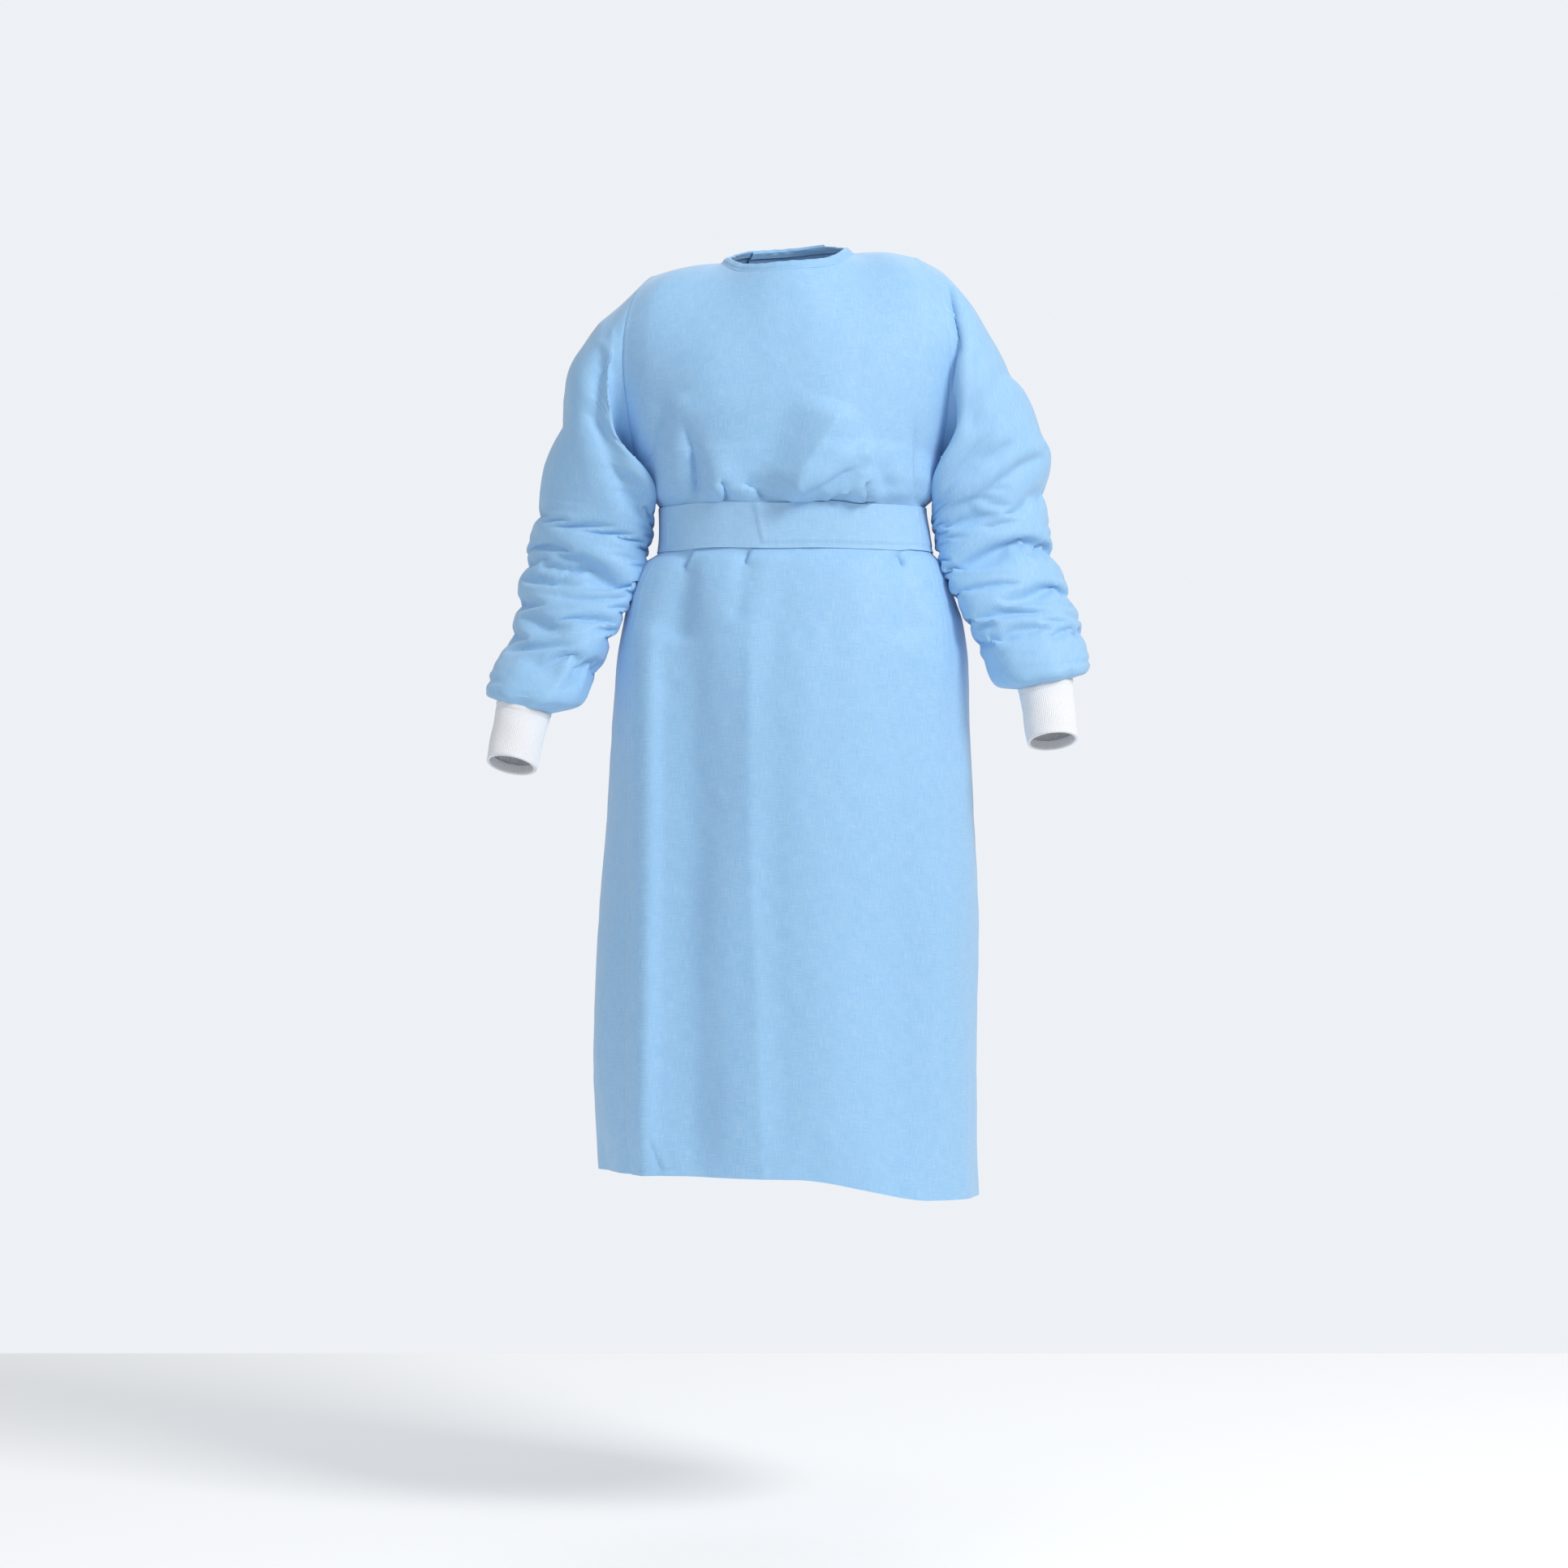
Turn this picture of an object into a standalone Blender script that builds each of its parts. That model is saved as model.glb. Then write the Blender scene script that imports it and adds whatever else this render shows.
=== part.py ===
"""Procedure gown of nonwoven cloth, in the shape it has when worn: closed front, lapped back,
set-in sleeves bunched down the arms, knit cuffs, a bound neckline and a wide belt tied behind.

Metres, +Z up. The gown's front faces -Y and the wearer's left is +X. The origin is level with
the shoulder seams at the neck, midway between them, where the shoulders carry the gown.

One welded surface is worked out first: body, sleeves, cuffs and neck binding share the points
of their seams and the normals there. Each piece is then a closed wall about its own stretch of
that surface, pulled back a little from every seam.
"""
from collections import namedtuple
import math

import bpy
import bmesh
from mathutils import Vector

# ------------------------------------------------------------------ driving sizes
CLOTH_WALL = 0.0020
CUFF_WALL = 0.0024
BINDING_WALL = 0.0026
FASTENER_WALL = 0.0010
SEAM_PULL = 0.0002          # each wall stops this far short of a seam line
CORNER_PULL = 0.0006        # more where the seam turns a corner: shoulder ends and underarms
LAYER_GAP = 0.0004          # air between a panel and what lies on it
LAP_RISE = 0.0038           # how far the outer back panel lies off the inner one
SAME_LEVEL = 1.0e-6         # heights closer than this are one row
SHARP_DEGREES = 40.0        # edges that turn more than this are shaded as sharp

SHOULDER_COLUMNS = 7        # columns of faces along one shoulder seam
HALF_NECK_COLUMNS = 5       # from the end of a shoulder seam to the middle of the neck
LAP_COLUMNS = 2             # past the centre back, on each back panel
HALF_COLUMNS = SHOULDER_COLUMNS + HALF_NECK_COLUMNS
ARMHOLE_ROWS = 11           # rows of faces from the underarm to the shoulder
SQUARENESS = 2.3            # 2 is an ellipse, more is squarer
LAP_RISE_COLUMNS = 3.0      # columns over which the outer back panel rises to its full lift
BELT_STEP_COLUMNS = 2.0     # columns over which the belt climbs on to the lap's edge

# Body sections from the hem up to the underarm. left is the picture's left (-X).
# seam angles: how far in front of the side each side seam runs. rings: rows up to the next section.
Section = namedtuple("Section", "z left right front back seam_left seam_right rings")
BODY = (
    Section(-1.0850, 0.2215, 0.2180, 0.165, 0.172, 40, 45, 2),
    Section(-0.9300, 0.2300, 0.2170, 0.164, 0.171, 39, 44, 3),
    Section(-0.7500, 0.2200, 0.2200, 0.161, 0.168, 37, 42, 2),
    Section(-0.6500, 0.2125, 0.2155, 0.159, 0.165, 35, 40, 2),
    Section(-0.5600, 0.2080, 0.2100, 0.156, 0.160, 33, 38, 2),
    Section(-0.4800, 0.2030, 0.2080, 0.151, 0.152, 31, 35, 1),
    Section(-0.4300, 0.1940, 0.2010, 0.144, 0.142, 29, 32, 1),
    Section(-0.4000, 0.1880, 0.1910, 0.138, 0.134, 28, 30, 1),
    Section(-0.3750, 0.1790, 0.1830, 0.131, 0.124, 27, 28, 1),
    Section(-0.3600, 0.1680, 0.1760, 0.125, 0.117, 26, 27, 1),
    Section(-0.3490, 0.1530, 0.1660, 0.117, 0.108, 25, 26, 1),
    Section(-0.3230, 0.1510, 0.1610, 0.116, 0.107, 24, 25, 1),
    Section(-0.2965, 0.1515, 0.1570, 0.1165, 0.1075, 23, 24, 1),
    Section(-0.2840, 0.1600, 0.1680, 0.128, 0.115, 22, 23, 1),
    Section(-0.2620, 0.1690, 0.1755, 0.133, 0.120, 17, 17, 1),
    Section(-0.2350, 0.1800, 0.1760, 0.133, 0.122, 10, 10, 0),
)
BELT_BOTTOM, BELT_TOP = BODY[10].z, BODY[12].z

# Height of the hem round the gown: angle from the front centre, + to the wearer's left.
Hem = namedtuple("Hem", "angle z")
HEM = (
    Hem(-180, -1.092), Hem(-120, -1.078), Hem(-90, -1.068), Hem(-40, -1.065), Hem(0, -1.066),
    Hem(45, -1.095), Hem(90, -1.100), Hem(135, -1.102), Hem(180, -1.092),
)
HEM_FADE_TOP = -0.65        # above this the rows are level

# Shoulder seams and neck. The neck edge is the seam of the binding; its top stands inside that.
SHOULDER_TIPS = {-1: Vector((-0.165, 0.004, -0.026)), 1: Vector((0.152, 0.004, -0.004))}
SHOULDER_SWELL = 0.004      # rise of the shoulder seam over its straight line
Neck = namedtuple("Neck", "centre half_width front back z_side z_front z_back tilt")
NECK_EDGE = Neck(-0.003, 0.076, 0.086, 0.078, -0.003, -0.026, 0.008, 0.006)
NECK_TOP = Neck(-0.003, 0.069, 0.080, 0.072, 0.004, -0.0165, 0.017, 0.006)

# Bulge of the chest and shoulder blades above the underarm, by column from the armhole.
Bulge = namedtuple("Bulge", "column depth z")
CHEST = (
    Bulge(0, 0.124, -0.082), Bulge(3, 0.126, -0.040), Bulge(5, 0.122, -0.028),
    Bulge(7, 0.120, -0.036), Bulge(9, 0.122, -0.065), Bulge(12, 0.125, -0.095),
)
SHOULDER_BLADES = (
    Bulge(0, 0.118, -0.078), Bulge(3, 0.124, -0.036), Bulge(5, 0.122, -0.022),
    Bulge(7, 0.118, -0.020), Bulge(9, 0.118, -0.036), Bulge(12, 0.118, -0.058),
)
ARMHOLE_SPREAD = 1.24       # the armholes stand this much wider than underarm and shoulder tip

# Sleeve rings from the armhole to the cuff: where the ring's outermost and innermost points lie
# in the front view, its middle front to back, and half its depth.
Ring = namedtuple("Ring", "along outer_x outer_z inner_x inner_z y half_depth")
SLEEVE_RINGS = {
    -1: (
        Ring(0.00, -0.165, -0.026, -0.180, -0.235, 0.000, 0.072),
        Ring(0.07, -0.192, -0.053, -0.196, -0.238, 0.000, 0.077),
        Ring(0.15, -0.226, -0.084, -0.201, -0.248, 0.004, 0.080),
        Ring(0.25, -0.258, -0.136, -0.193, -0.262, 0.010, 0.081),
        Ring(0.35, -0.267, -0.196, -0.181, -0.278, 0.016, 0.079),
        Ring(0.45, -0.287, -0.254, -0.172, -0.298, 0.020, 0.075),
        Ring(0.55, -0.297, -0.305, -0.167, -0.325, 0.020, 0.072),
        Ring(0.65, -0.306, -0.350, -0.177, -0.357, 0.014, 0.070),
        Ring(0.75, -0.316, -0.400, -0.197, -0.395, -0.002, 0.067),
        Ring(0.85, -0.324, -0.450, -0.207, -0.440, -0.028, 0.063),
        Ring(0.93, -0.345, -0.495, -0.225, -0.492, -0.056, 0.057),
        Ring(0.97, -0.347, -0.515, -0.243, -0.527, -0.072, 0.048),
        Ring(1.00, -0.336, -0.522, -0.275, -0.537, -0.085, 0.031),
    ),
    1: (
        Ring(0.00, 0.152, -0.004, 0.176, -0.235, 0.000, 0.072),
        Ring(0.07, 0.182, -0.022, 0.193, -0.238, 0.000, 0.077),
        Ring(0.15, 0.210, -0.062, 0.198, -0.248, 0.004, 0.080),
        Ring(0.25, 0.245, -0.112, 0.194, -0.261, 0.010, 0.081),
        Ring(0.35, 0.277, -0.168, 0.188, -0.276, 0.016, 0.079),
        Ring(0.45, 0.303, -0.230, 0.181, -0.296, 0.020, 0.075),
        Ring(0.55, 0.300, -0.286, 0.175, -0.321, 0.020, 0.072),
        Ring(0.65, 0.306, -0.340, 0.185, -0.352, 0.014, 0.070),
        Ring(0.75, 0.322, -0.388, 0.202, -0.388, -0.002, 0.067),
        Ring(0.85, 0.338, -0.436, 0.212, -0.430, -0.028, 0.063),
        Ring(0.93, 0.344, -0.474, 0.226, -0.476, -0.054, 0.057),
        Ring(0.97, 0.341, -0.489, 0.243, -0.506, -0.068, 0.048),
        Ring(1.00, 0.325, -0.496, 0.264, -0.509, -0.078, 0.031),
    ),
}
SLEEVE_ROWS = 30
ARMHOLE_BLEND = 0.16        # the armhole's own outline fades into the rings over this stretch
UNDERARM_START, UNDERARM_SPREAD = 0.625, 0.25       # cosines round the arm: where its corner begins

# Folds that bunch each sleeve: a crease round the arm, placed along the sleeve where it passes
# the outer side, the front, the inner side and the back. puff: how far the cloth below it swells.
Crease = namedtuple("Crease", "outer front inner back depth puff")
SLEEVE_CREASES = {
    -1: (
        Crease(0.36, 0.27, 0.32, 0.40, 0.0050, 0.0060),
        Crease(0.55, 0.58, 0.62, 0.55, 0.0085, 0.0110),
        Crease(0.68, 0.70, 0.74, 0.67, 0.0085, 0.0100),
        Crease(0.77, 0.82, 0.86, 0.78, 0.0085, 0.0095),
        Crease(0.84, 0.92, 0.94, 0.88, 0.0040, 0.0070),
    ),
    1: (
        Crease(0.30, 0.26, 0.30, 0.36, 0.0050, 0.0060),
        Crease(0.42, 0.42, 0.44, 0.47, 0.0055, 0.0110),
        Crease(0.54, 0.55, 0.58, 0.57, 0.0090, 0.0085),
        Crease(0.68, 0.66, 0.70, 0.68, 0.0090, 0.0110),
        Crease(0.78, 0.76, 0.80, 0.77, 0.0065, 0.0075),
        Crease(0.87, 0.87, 0.90, 0.88, 0.0050, 0.0070),
    ),
}
CREASE_WIDTH = 0.026        # along the sleeve, in parts of its length
CREASE_ROUNDING = 1.5       # how sharply a crease dips or climbs at the middle of the front and back
PUFF_SKEW = 0.8             # below 1 the cloth under a crease swells most near that crease
INNER_RELIEF = 0.35         # how much of the folds is left where the arm lies against the body
INNER_START, INNER_SPREAD = 0.3, 0.5    # cosines round the arm: where the folds begin to flatten
SEAM_FADE, CUFF_FADE = 0.10, 0.03       # the folds fade in and out over these parts of the sleeve
CUFF_GATHERS = 11           # waves where the sleeve is drawn in to the cuff
CUFF_GATHER_HEIGHT = 0.0022
CUFF_GATHER_START, CUFF_GATHER_FADE = 0.90, 0.08

# Cuffs: centre of the free end, its half sizes, and the rows between.
CUFF_ENDS = {-1: Vector((-0.3185, -0.113, -0.5965)), 1: Vector((0.3010, -0.105, -0.5690))}
CUFF_HALF_WIDTH, CUFF_HALF_DEPTH = 0.0285, 0.0275
CUFF_ROWS = 4
CUFF_SWELL = 0.0010
CUFF_ROUNDED = 0.5          # by this part of its length the cuff is a plain round

# Folds on the body as seen from the front: a ridge (+) or trough (-) along a line in X and Z.
Fold = namedtuple("Fold", "x0 z0 x1 z1 width height")
FRONT_FOLDS = (
    Fold(0.062, -0.178, -0.005, -0.285, 0.017, -0.0100),    # main slanting fold above the belt
    Fold(0.088, -0.205, 0.030, -0.282, 0.020, 0.0080),
    Fold(0.000, -0.195, -0.045, -0.270, 0.018, 0.0070),
    Fold(-0.116, -0.215, -0.112, -0.290, 0.014, -0.0080),
    Fold(-0.085, -0.225, -0.080, -0.285, 0.016, 0.0050),
    Fold(-0.126, -0.150, -0.166, -0.262, 0.020, -0.0065),
    Fold(0.080, -0.232, 0.112, -0.285, 0.013, -0.0070),
    Fold(0.147, -0.180, 0.147, -0.290, 0.012, -0.0045),
    Fold(-0.110, -0.060, -0.085, -0.200, 0.040, 0.0040),
    Fold(-0.166, -0.450, -0.163, -1.090, 0.018, 0.0090),    # the skirt's long pressed fold
    Fold(-0.118, -0.420, -0.112, -1.090, 0.030, -0.0100),
    Fold(0.015, -0.480, 0.045, -1.090, 0.060, 0.0080),
    Fold(0.125, -0.430, 0.120, -1.090, 0.030, -0.0060),
    Fold(-0.118, -0.354, -0.132, -0.450, 0.016, -0.0080),
    Fold(0.125, -0.354, 0.138, -0.450, 0.016, -0.0070),
    Fold(-0.048, -0.354, -0.060, -0.430, 0.014, -0.0040),
)
BACK_FOLDS = (
    Fold(-0.100, -0.160, -0.060, -0.288, 0.020, -0.0085),
    Fold(0.110, -0.170, 0.070, -0.288, 0.020, -0.0085),
    Fold(-0.030, -0.120, -0.020, -0.285, 0.030, 0.0060),
    Fold(-0.110, -0.380, -0.128, -1.095, 0.028, -0.0100),
    Fold(0.118, -0.380, 0.125, -1.095, 0.028, -0.0100),
    Fold(-0.165, -0.420, -0.175, -1.095, 0.022, 0.0080),
    Fold(0.165, -0.420, 0.180, -1.095, 0.022, 0.0080),
)
FOLD_WEIGHT_SLOPE = 2.5     # how soon a front or back fold fades where the cloth turns sideways
FOLD_TAPER = 0.25           # part of a fold's length over which its ends fade
BELT_MARGIN = 0.001         # no folds from this far below the belt to this far above it

# Belt tie behind: a flat knot and two tails that hang down the skirt.
KNOT_HALF = Vector((0.027, 0.010, 0.025))
KNOT_SEGMENTS, KNOT_RINGS = 12, 8
KNOT_PINCH, KNOT_PINCH_WIDTH = 0.18, 0.35   # how far its middle is drawn in, and how wide that is
Tail = namedtuple("Tail", "column last_row")     # where it lies on the outer back panel's points
TAILS = {-1: Tail(11, 8), 1: Tail(13, 9)}
TAIL_REACH = 0.8            # half the tail's width, in columns
TAIL_START = 0.25           # its top lies this part of a row below the belt
TAIL_GAP = 0.0007

Finish = namedtuple("Finish", "slot colour roughness")
CLOTH = Finish("nonwoven_cloth", (0.33, 0.58, 0.86, 1.0), 0.62)
KNIT = Finish("knit_cuff", (0.86, 0.86, 0.88, 1.0), 0.85)
TAPE = Finish("hook_and_loop", (0.80, 0.82, 0.84, 1.0), 0.75)


# ------------------------------------------------------------------ small tools
def smooth(value):
    """0 below 0, 1 above 1, and an S curve between."""
    value = min(1.0, max(0.0, value))
    return value * value * (3.0 - 2.0 * value)


def between(rows, at):
    """The row of a table at any place of its first column, along a curve that never overshoots."""
    places = [row[0] for row in rows]
    at = min(places[-1], max(places[0], at))
    index = max(k for k in range(len(rows) - 1) if places[k] <= at)
    step = places[index + 1] - places[index]
    part = (at - places[index]) / step

    def slope(k, column):
        """Slope at row k: the harmonic mean of the slopes to its neighbours."""
        if k == 0 or k == len(rows) - 1:
            near = 0 if k == 0 else k - 1
            return (rows[near + 1][column] - rows[near][column]) / (places[near + 1] - places[near])
        before = (rows[k][column] - rows[k - 1][column]) / (places[k] - places[k - 1])
        after = (rows[k + 1][column] - rows[k][column]) / (places[k + 1] - places[k])
        return 2.0 * before * after / (before + after) if before * after > 0.0 else 0.0

    values = [at]
    for column in range(1, len(rows[0])):
        low, high = rows[index][column], rows[index + 1][column]
        m0, m1 = slope(index, column) * step, slope(index + 1, column) * step
        values.append((2 * part ** 3 - 3 * part ** 2 + 1) * low + (part ** 3 - 2 * part ** 2 + part) * m0
                      + (3 * part ** 2 - 2 * part ** 3) * high + (part ** 3 - part ** 2) * m1)
    return type(rows[0])(*values)


# ------------------------------------------------------------------ the body's surface
def body_point(z, angle):
    """A point of the section at height z; angle in degrees from the front centre, + to +X."""
    section = between(BODY, z)
    turn = math.radians(angle)
    side, face = math.sin(turn), math.cos(turn)
    reach = (abs(side) ** SQUARENESS + abs(face) ** SQUARENESS) ** (-1.0 / SQUARENESS)
    width = section.right if side > 0.0 else section.left
    depth = section.front if face > 0.0 else section.back
    return Vector((width * reach * side, -depth * reach * face, z))


def wrapped(angle):
    """The same angle between -180 and 180 degrees."""
    return (angle + 180.0) % 360.0 - 180.0


def skirt_point(z, angle):
    """A point below the underarm, with the rows near the hem bent to the hem's height."""
    point = body_point(z, angle)
    share = smooth((HEM_FADE_TOP - z) / (HEM_FADE_TOP - BODY[0].z))
    point.z += share * (between(HEM, wrapped(angle)).z - BODY[0].z)
    return point


def column_angle(z, half, face, column):
    """Angle of a panel's column at height z. half: -1 left, 1 right. face: -1 front, 1 back."""
    section = between(BODY, z)
    seam = 90.0 - (section.seam_left if half < 0 else section.seam_right)
    middle = 0.0 if face < 0 else 180.0
    return half * (seam + (middle - seam) * column / HALF_COLUMNS)


def neck_point(neck, angle):
    """A point of the neckline at an angle from the front centre."""
    turn = math.radians(angle)
    side, face = math.sin(turn), math.cos(turn)
    depth = neck.front if face > 0.0 else neck.back
    z_middle = neck.z_front if face > 0.0 else neck.z_back
    z = neck.z_side + neck.tilt * side + (z_middle - neck.z_side) * smooth(abs(face))
    return Vector((neck.centre + neck.half_width * side, -depth * face, z))


def neck_angle(half, face, column):
    """Angle on the neckline of a column that ends there."""
    turned = 90.0 * (column - SHOULDER_COLUMNS) / HALF_NECK_COLUMNS
    return half * (90.0 + face * turned)


def top_point(half, face, column):
    """Where a column ends: on the shoulder seam or on the neckline."""
    if column > SHOULDER_COLUMNS:
        return neck_point(NECK_EDGE, neck_angle(half, face, column))
    part = column / SHOULDER_COLUMNS
    seam = SHOULDER_TIPS[half].lerp(neck_point(NECK_EDGE, 90.0 * half), part)
    seam.z += SHOULDER_SWELL * math.sin(math.pi * part)
    return seam


def upper_point(half, face, column, part):
    """A point above the underarm: part 0 is the underarm's level, 1 the shoulder or neckline."""
    low = body_point(BODY[-1].z, column_angle(BODY[-1].z, half, face, column))
    top = top_point(half, face, column)
    bulge = between(CHEST if face < 0 else SHOULDER_BLADES, min(column, 2 * HALF_COLUMNS - column))
    control = Vector((ARMHOLE_SPREAD * (low.x + top.x) / 2.0, face * bulge.depth, bulge.z))
    return low * (1.0 - part) ** 2 + control * 2.0 * part * (1.0 - part) + top * part ** 2


def body_rows():
    """Heights of the rows from the hem to the underarm."""
    heights = []
    for low, high in zip(BODY, BODY[1:]):
        heights += [low.z + (high.z - low.z) * k / low.rings for k in range(low.rings)]
    return heights + [BODY[-1].z]


def panel_column(half, face, column):
    """All points of one column of a body panel, from the hem up."""
    points = [skirt_point(z, column_angle(z, half, face, column)) for z in body_rows()]
    return points + [upper_point(half, face, column, k / ARMHOLE_ROWS) for k in range(1, ARMHOLE_ROWS + 1)]


def transposed(columns):
    """Rows of points from columns of points."""
    return [list(row) for row in zip(*columns)]


def front_grid():
    """The front panel's points, a row for each height, from the picture's left to its right."""
    left = [panel_column(-1, -1, column) for column in range(HALF_COLUMNS + 1)]
    right = [panel_column(1, -1, column) for column in range(HALF_COLUMNS)]
    return transposed(left + right[::-1])


def back_grid(half):
    """A back panel's points, from its side seam past the centre back."""
    return transposed([panel_column(half, 1, column) for column in range(HALF_COLUMNS + LAP_COLUMNS + 1)])


# ------------------------------------------------------------------ sleeves, cuffs and binding
def armhole_ring(half):
    """The armhole's seam points: from the underarm over the front to the shoulder, and back."""
    over_front = [upper_point(half, -1, 0, k / ARMHOLE_ROWS) for k in range(ARMHOLE_ROWS + 1)]
    over_back = [upper_point(half, 1, 0, k / ARMHOLE_ROWS) for k in range(1, ARMHOLE_ROWS)]
    return over_front + over_back[::-1]


def ring_turn(index):
    """Angle of a sleeve column round the arm: 0 inner side, 180 outer side, through the front."""
    return 180.0 * index / ARMHOLE_ROWS


def crease_place(crease, turn):
    """Where a crease passes, along the sleeve, at an angle round the arm."""
    side, face = math.cos(math.radians(turn)), math.sin(math.radians(turn))
    middle = (crease.inner + crease.outer) / 2.0
    ends = crease.front if face > 0.0 else crease.back
    dip = abs(face) ** CREASE_ROUNDING * (ends - middle)
    return middle + side * (crease.inner - crease.outer) / 2.0 + dip


def sleeve_relief(half, along, turn):
    """Height of the bunched cloth over the plain ring: creases cut in, and the cloth between swells."""
    places = [crease_place(crease, turn) for crease in SLEEVE_CREASES[half]] + [1.0]
    height = 0.0
    inner = smooth((math.cos(math.radians(turn)) - INNER_START) / INNER_SPREAD)
    for number, crease in enumerate(SLEEVE_CREASES[half]):
        place, following = places[number], places[number + 1]
        if place <= along < following:
            part = (along - place) / (following - place)
            height += crease.puff * math.sin(math.pi * part ** PUFF_SKEW)
        height -= crease.depth * math.exp(-((along - place) / CREASE_WIDTH) ** 2)
    gather = smooth((along - CUFF_GATHER_START) / CUFF_GATHER_FADE)
    height += gather * CUFF_GATHER_HEIGHT * math.cos(math.radians(turn * CUFF_GATHERS))
    height *= 1.0 - (1.0 - INNER_RELIEF) * inner
    return height * smooth(along / SEAM_FADE) * smooth((1.0 - along) / CUFF_FADE)


def ring_ends(ring):
    """The outermost and innermost points of a sleeve ring."""
    return Vector((ring.outer_x, ring.y, ring.outer_z)), Vector((ring.inner_x, ring.y, ring.inner_z))


def sleeve_point(half, along, turn):
    """A point of the bunched sleeve on its plain oval ring."""
    ring = between(SLEEVE_RINGS[half], along)
    outer, inner = ring_ends(ring)
    reach = (inner - outer) / 2.0
    side, face = math.cos(math.radians(turn)), math.sin(math.radians(turn))
    outward = reach.normalized() * side + Vector((0.0, -face, 0.0))
    plain = (outer + inner) / 2.0 + reach * side + Vector((0.0, -ring.half_depth * face, 0.0))
    return plain + outward * sleeve_relief(half, along, turn)


def carried_seam(half, along, turn, seam_point):
    """A point of the armhole seam, carried along as the rings' outer and inner ends move."""
    outer, inner = ring_ends(between(SLEEVE_RINGS[half], along))
    first_outer, first_inner = ring_ends(SLEEVE_RINGS[half][0])
    inner_share = (1.0 + math.cos(math.radians(turn))) / 2.0
    return seam_point + (outer - first_outer).lerp(inner - first_inner, inner_share)


def sleeve_grid(half):
    """A sleeve's points: rings from the armhole seam to the cuff seam."""
    seam = armhole_ring(half)
    rings = [seam]
    for row in range(1, SLEEVE_ROWS + 1):
        along = row / SLEEVE_ROWS
        points = []
        for index, seam_point in enumerate(seam):
            turn = ring_turn(index)
            carried = carried_seam(half, along, turn, seam_point)
            points.append(carried.lerp(sleeve_point(half, along, turn), smooth(along / ARMHOLE_BLEND)))
        rings.append(points)
    return rings


def cuff_grid(half, seam):
    """A cuff's points: from the sleeve's last ring to the free end."""
    centre = sum(seam, Vector()) / len(seam)
    end = CUFF_ENDS[half]
    axis = (end - centre).normalized()
    across = Vector((-half, 0.0, 0.0))
    across = (across - axis * across.dot(axis)).normalized()
    forward = axis.cross(across) if axis.cross(across).y < 0.0 else across.cross(axis)
    rings = [seam]
    for row in range(1, CUFF_ROWS + 1):
        part = row / CUFF_ROWS
        swell = CUFF_SWELL * math.sin(math.pi * part)
        points = []
        for index, seam_point in enumerate(seam):
            turn = math.radians(ring_turn(index))
            ring = across * math.cos(turn) * (CUFF_HALF_WIDTH + swell)
            ring += forward * math.sin(turn) * (CUFF_HALF_DEPTH + swell)
            plain = centre.lerp(end, part) + ring
            carried = centre.lerp(end, part) + (seam_point - centre)
            points.append(carried.lerp(plain, smooth(part / CUFF_ROUNDED)))
        rings.append(points)
    return rings


def binding_grid():
    """The neck binding's points: its seam on the panels and its top edge, open at centre back."""
    angles = [neck_angle(-1, 1, SHOULDER_COLUMNS + HALF_NECK_COLUMNS + LAP_COLUMNS - k)
              for k in range(HALF_NECK_COLUMNS + LAP_COLUMNS)]
    angles += [neck_angle(-1, -1, SHOULDER_COLUMNS + k) for k in range(HALF_NECK_COLUMNS)]
    angles += [0.0]
    angles += [-angle for angle in angles[-2::-1]]
    rows = [[neck_point(neck, angle) for angle in angles] for neck in (NECK_EDGE, NECK_TOP)]
    middle = [low.lerp(high, 0.5) for low, high in zip(*rows)]
    return [rows[0], middle, rows[1]]


# ------------------------------------------------------------------ normals, folds and lap
def key_of(point):
    """Points closer than a hundredth of a millimetre are one seam point."""
    return tuple(round(value * 1.0e5) for value in point)


def add_normals(sums, grid, closed):
    """Add a grid's face normals to the sums kept for its points."""
    width = len(grid[0])
    for low, high in zip(grid, grid[1:]):
        for k in range(width if closed else width - 1):
            corners = (low[k], low[(k + 1) % width], high[(k + 1) % width], high[k])
            normal = (corners[2] - corners[0]).cross(corners[3] - corners[1])
            for corner in corners:
                sums[key_of(corner)] = sums.get(key_of(corner), Vector()) + normal.normalized()


def surface_normals(groups):
    """Unit normals of the welded surface, pointing out of the gown, each group weighing the same."""
    sums = {}
    for grids in groups:
        group_sums = {}
        for grid, closed, flipped in grids:
            one_way = {}
            add_normals(one_way, grid, closed)
            for key, normal in one_way.items():
                group_sums[key] = group_sums.get(key, Vector()) + (-normal if flipped else normal)
        for key, normal in group_sums.items():
            sums[key] = sums.get(key, Vector()) + normal.normalized()
    return {key: normal.normalized() for key, normal in sums.items()}


def weld_normals(front, backs, sleeves, cuffs, binding):
    """Normals of the whole gown: the body, the binding, each sleeve and each cuff are groups."""
    groups = [[(front, False, False), (backs[-1], False, True), (backs[1], False, False)]]
    groups += [[(binding, False, False)]]
    for half in (-1, 1):
        groups += [[(sleeves[half], True, half > 0)], [(cuffs[half], True, half > 0)]]
    return surface_normals(groups)


def fold_height(folds, point):
    """Sum of the folds' heights at a point seen from the front."""
    height = 0.0
    for fold in folds:
        run = Vector((fold.x1 - fold.x0, fold.z1 - fold.z0))
        away = Vector((point.x - fold.x0, point.z - fold.z0))
        part = away.dot(run) / run.length_squared
        distance = (away - run * min(1.0, max(0.0, part))).length
        taper = smooth(part / FOLD_TAPER + 0.5) * smooth((1.0 - part) / FOLD_TAPER + 0.5)
        height += fold.height * taper * math.exp(-(distance / fold.width) ** 2)
    return height


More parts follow.
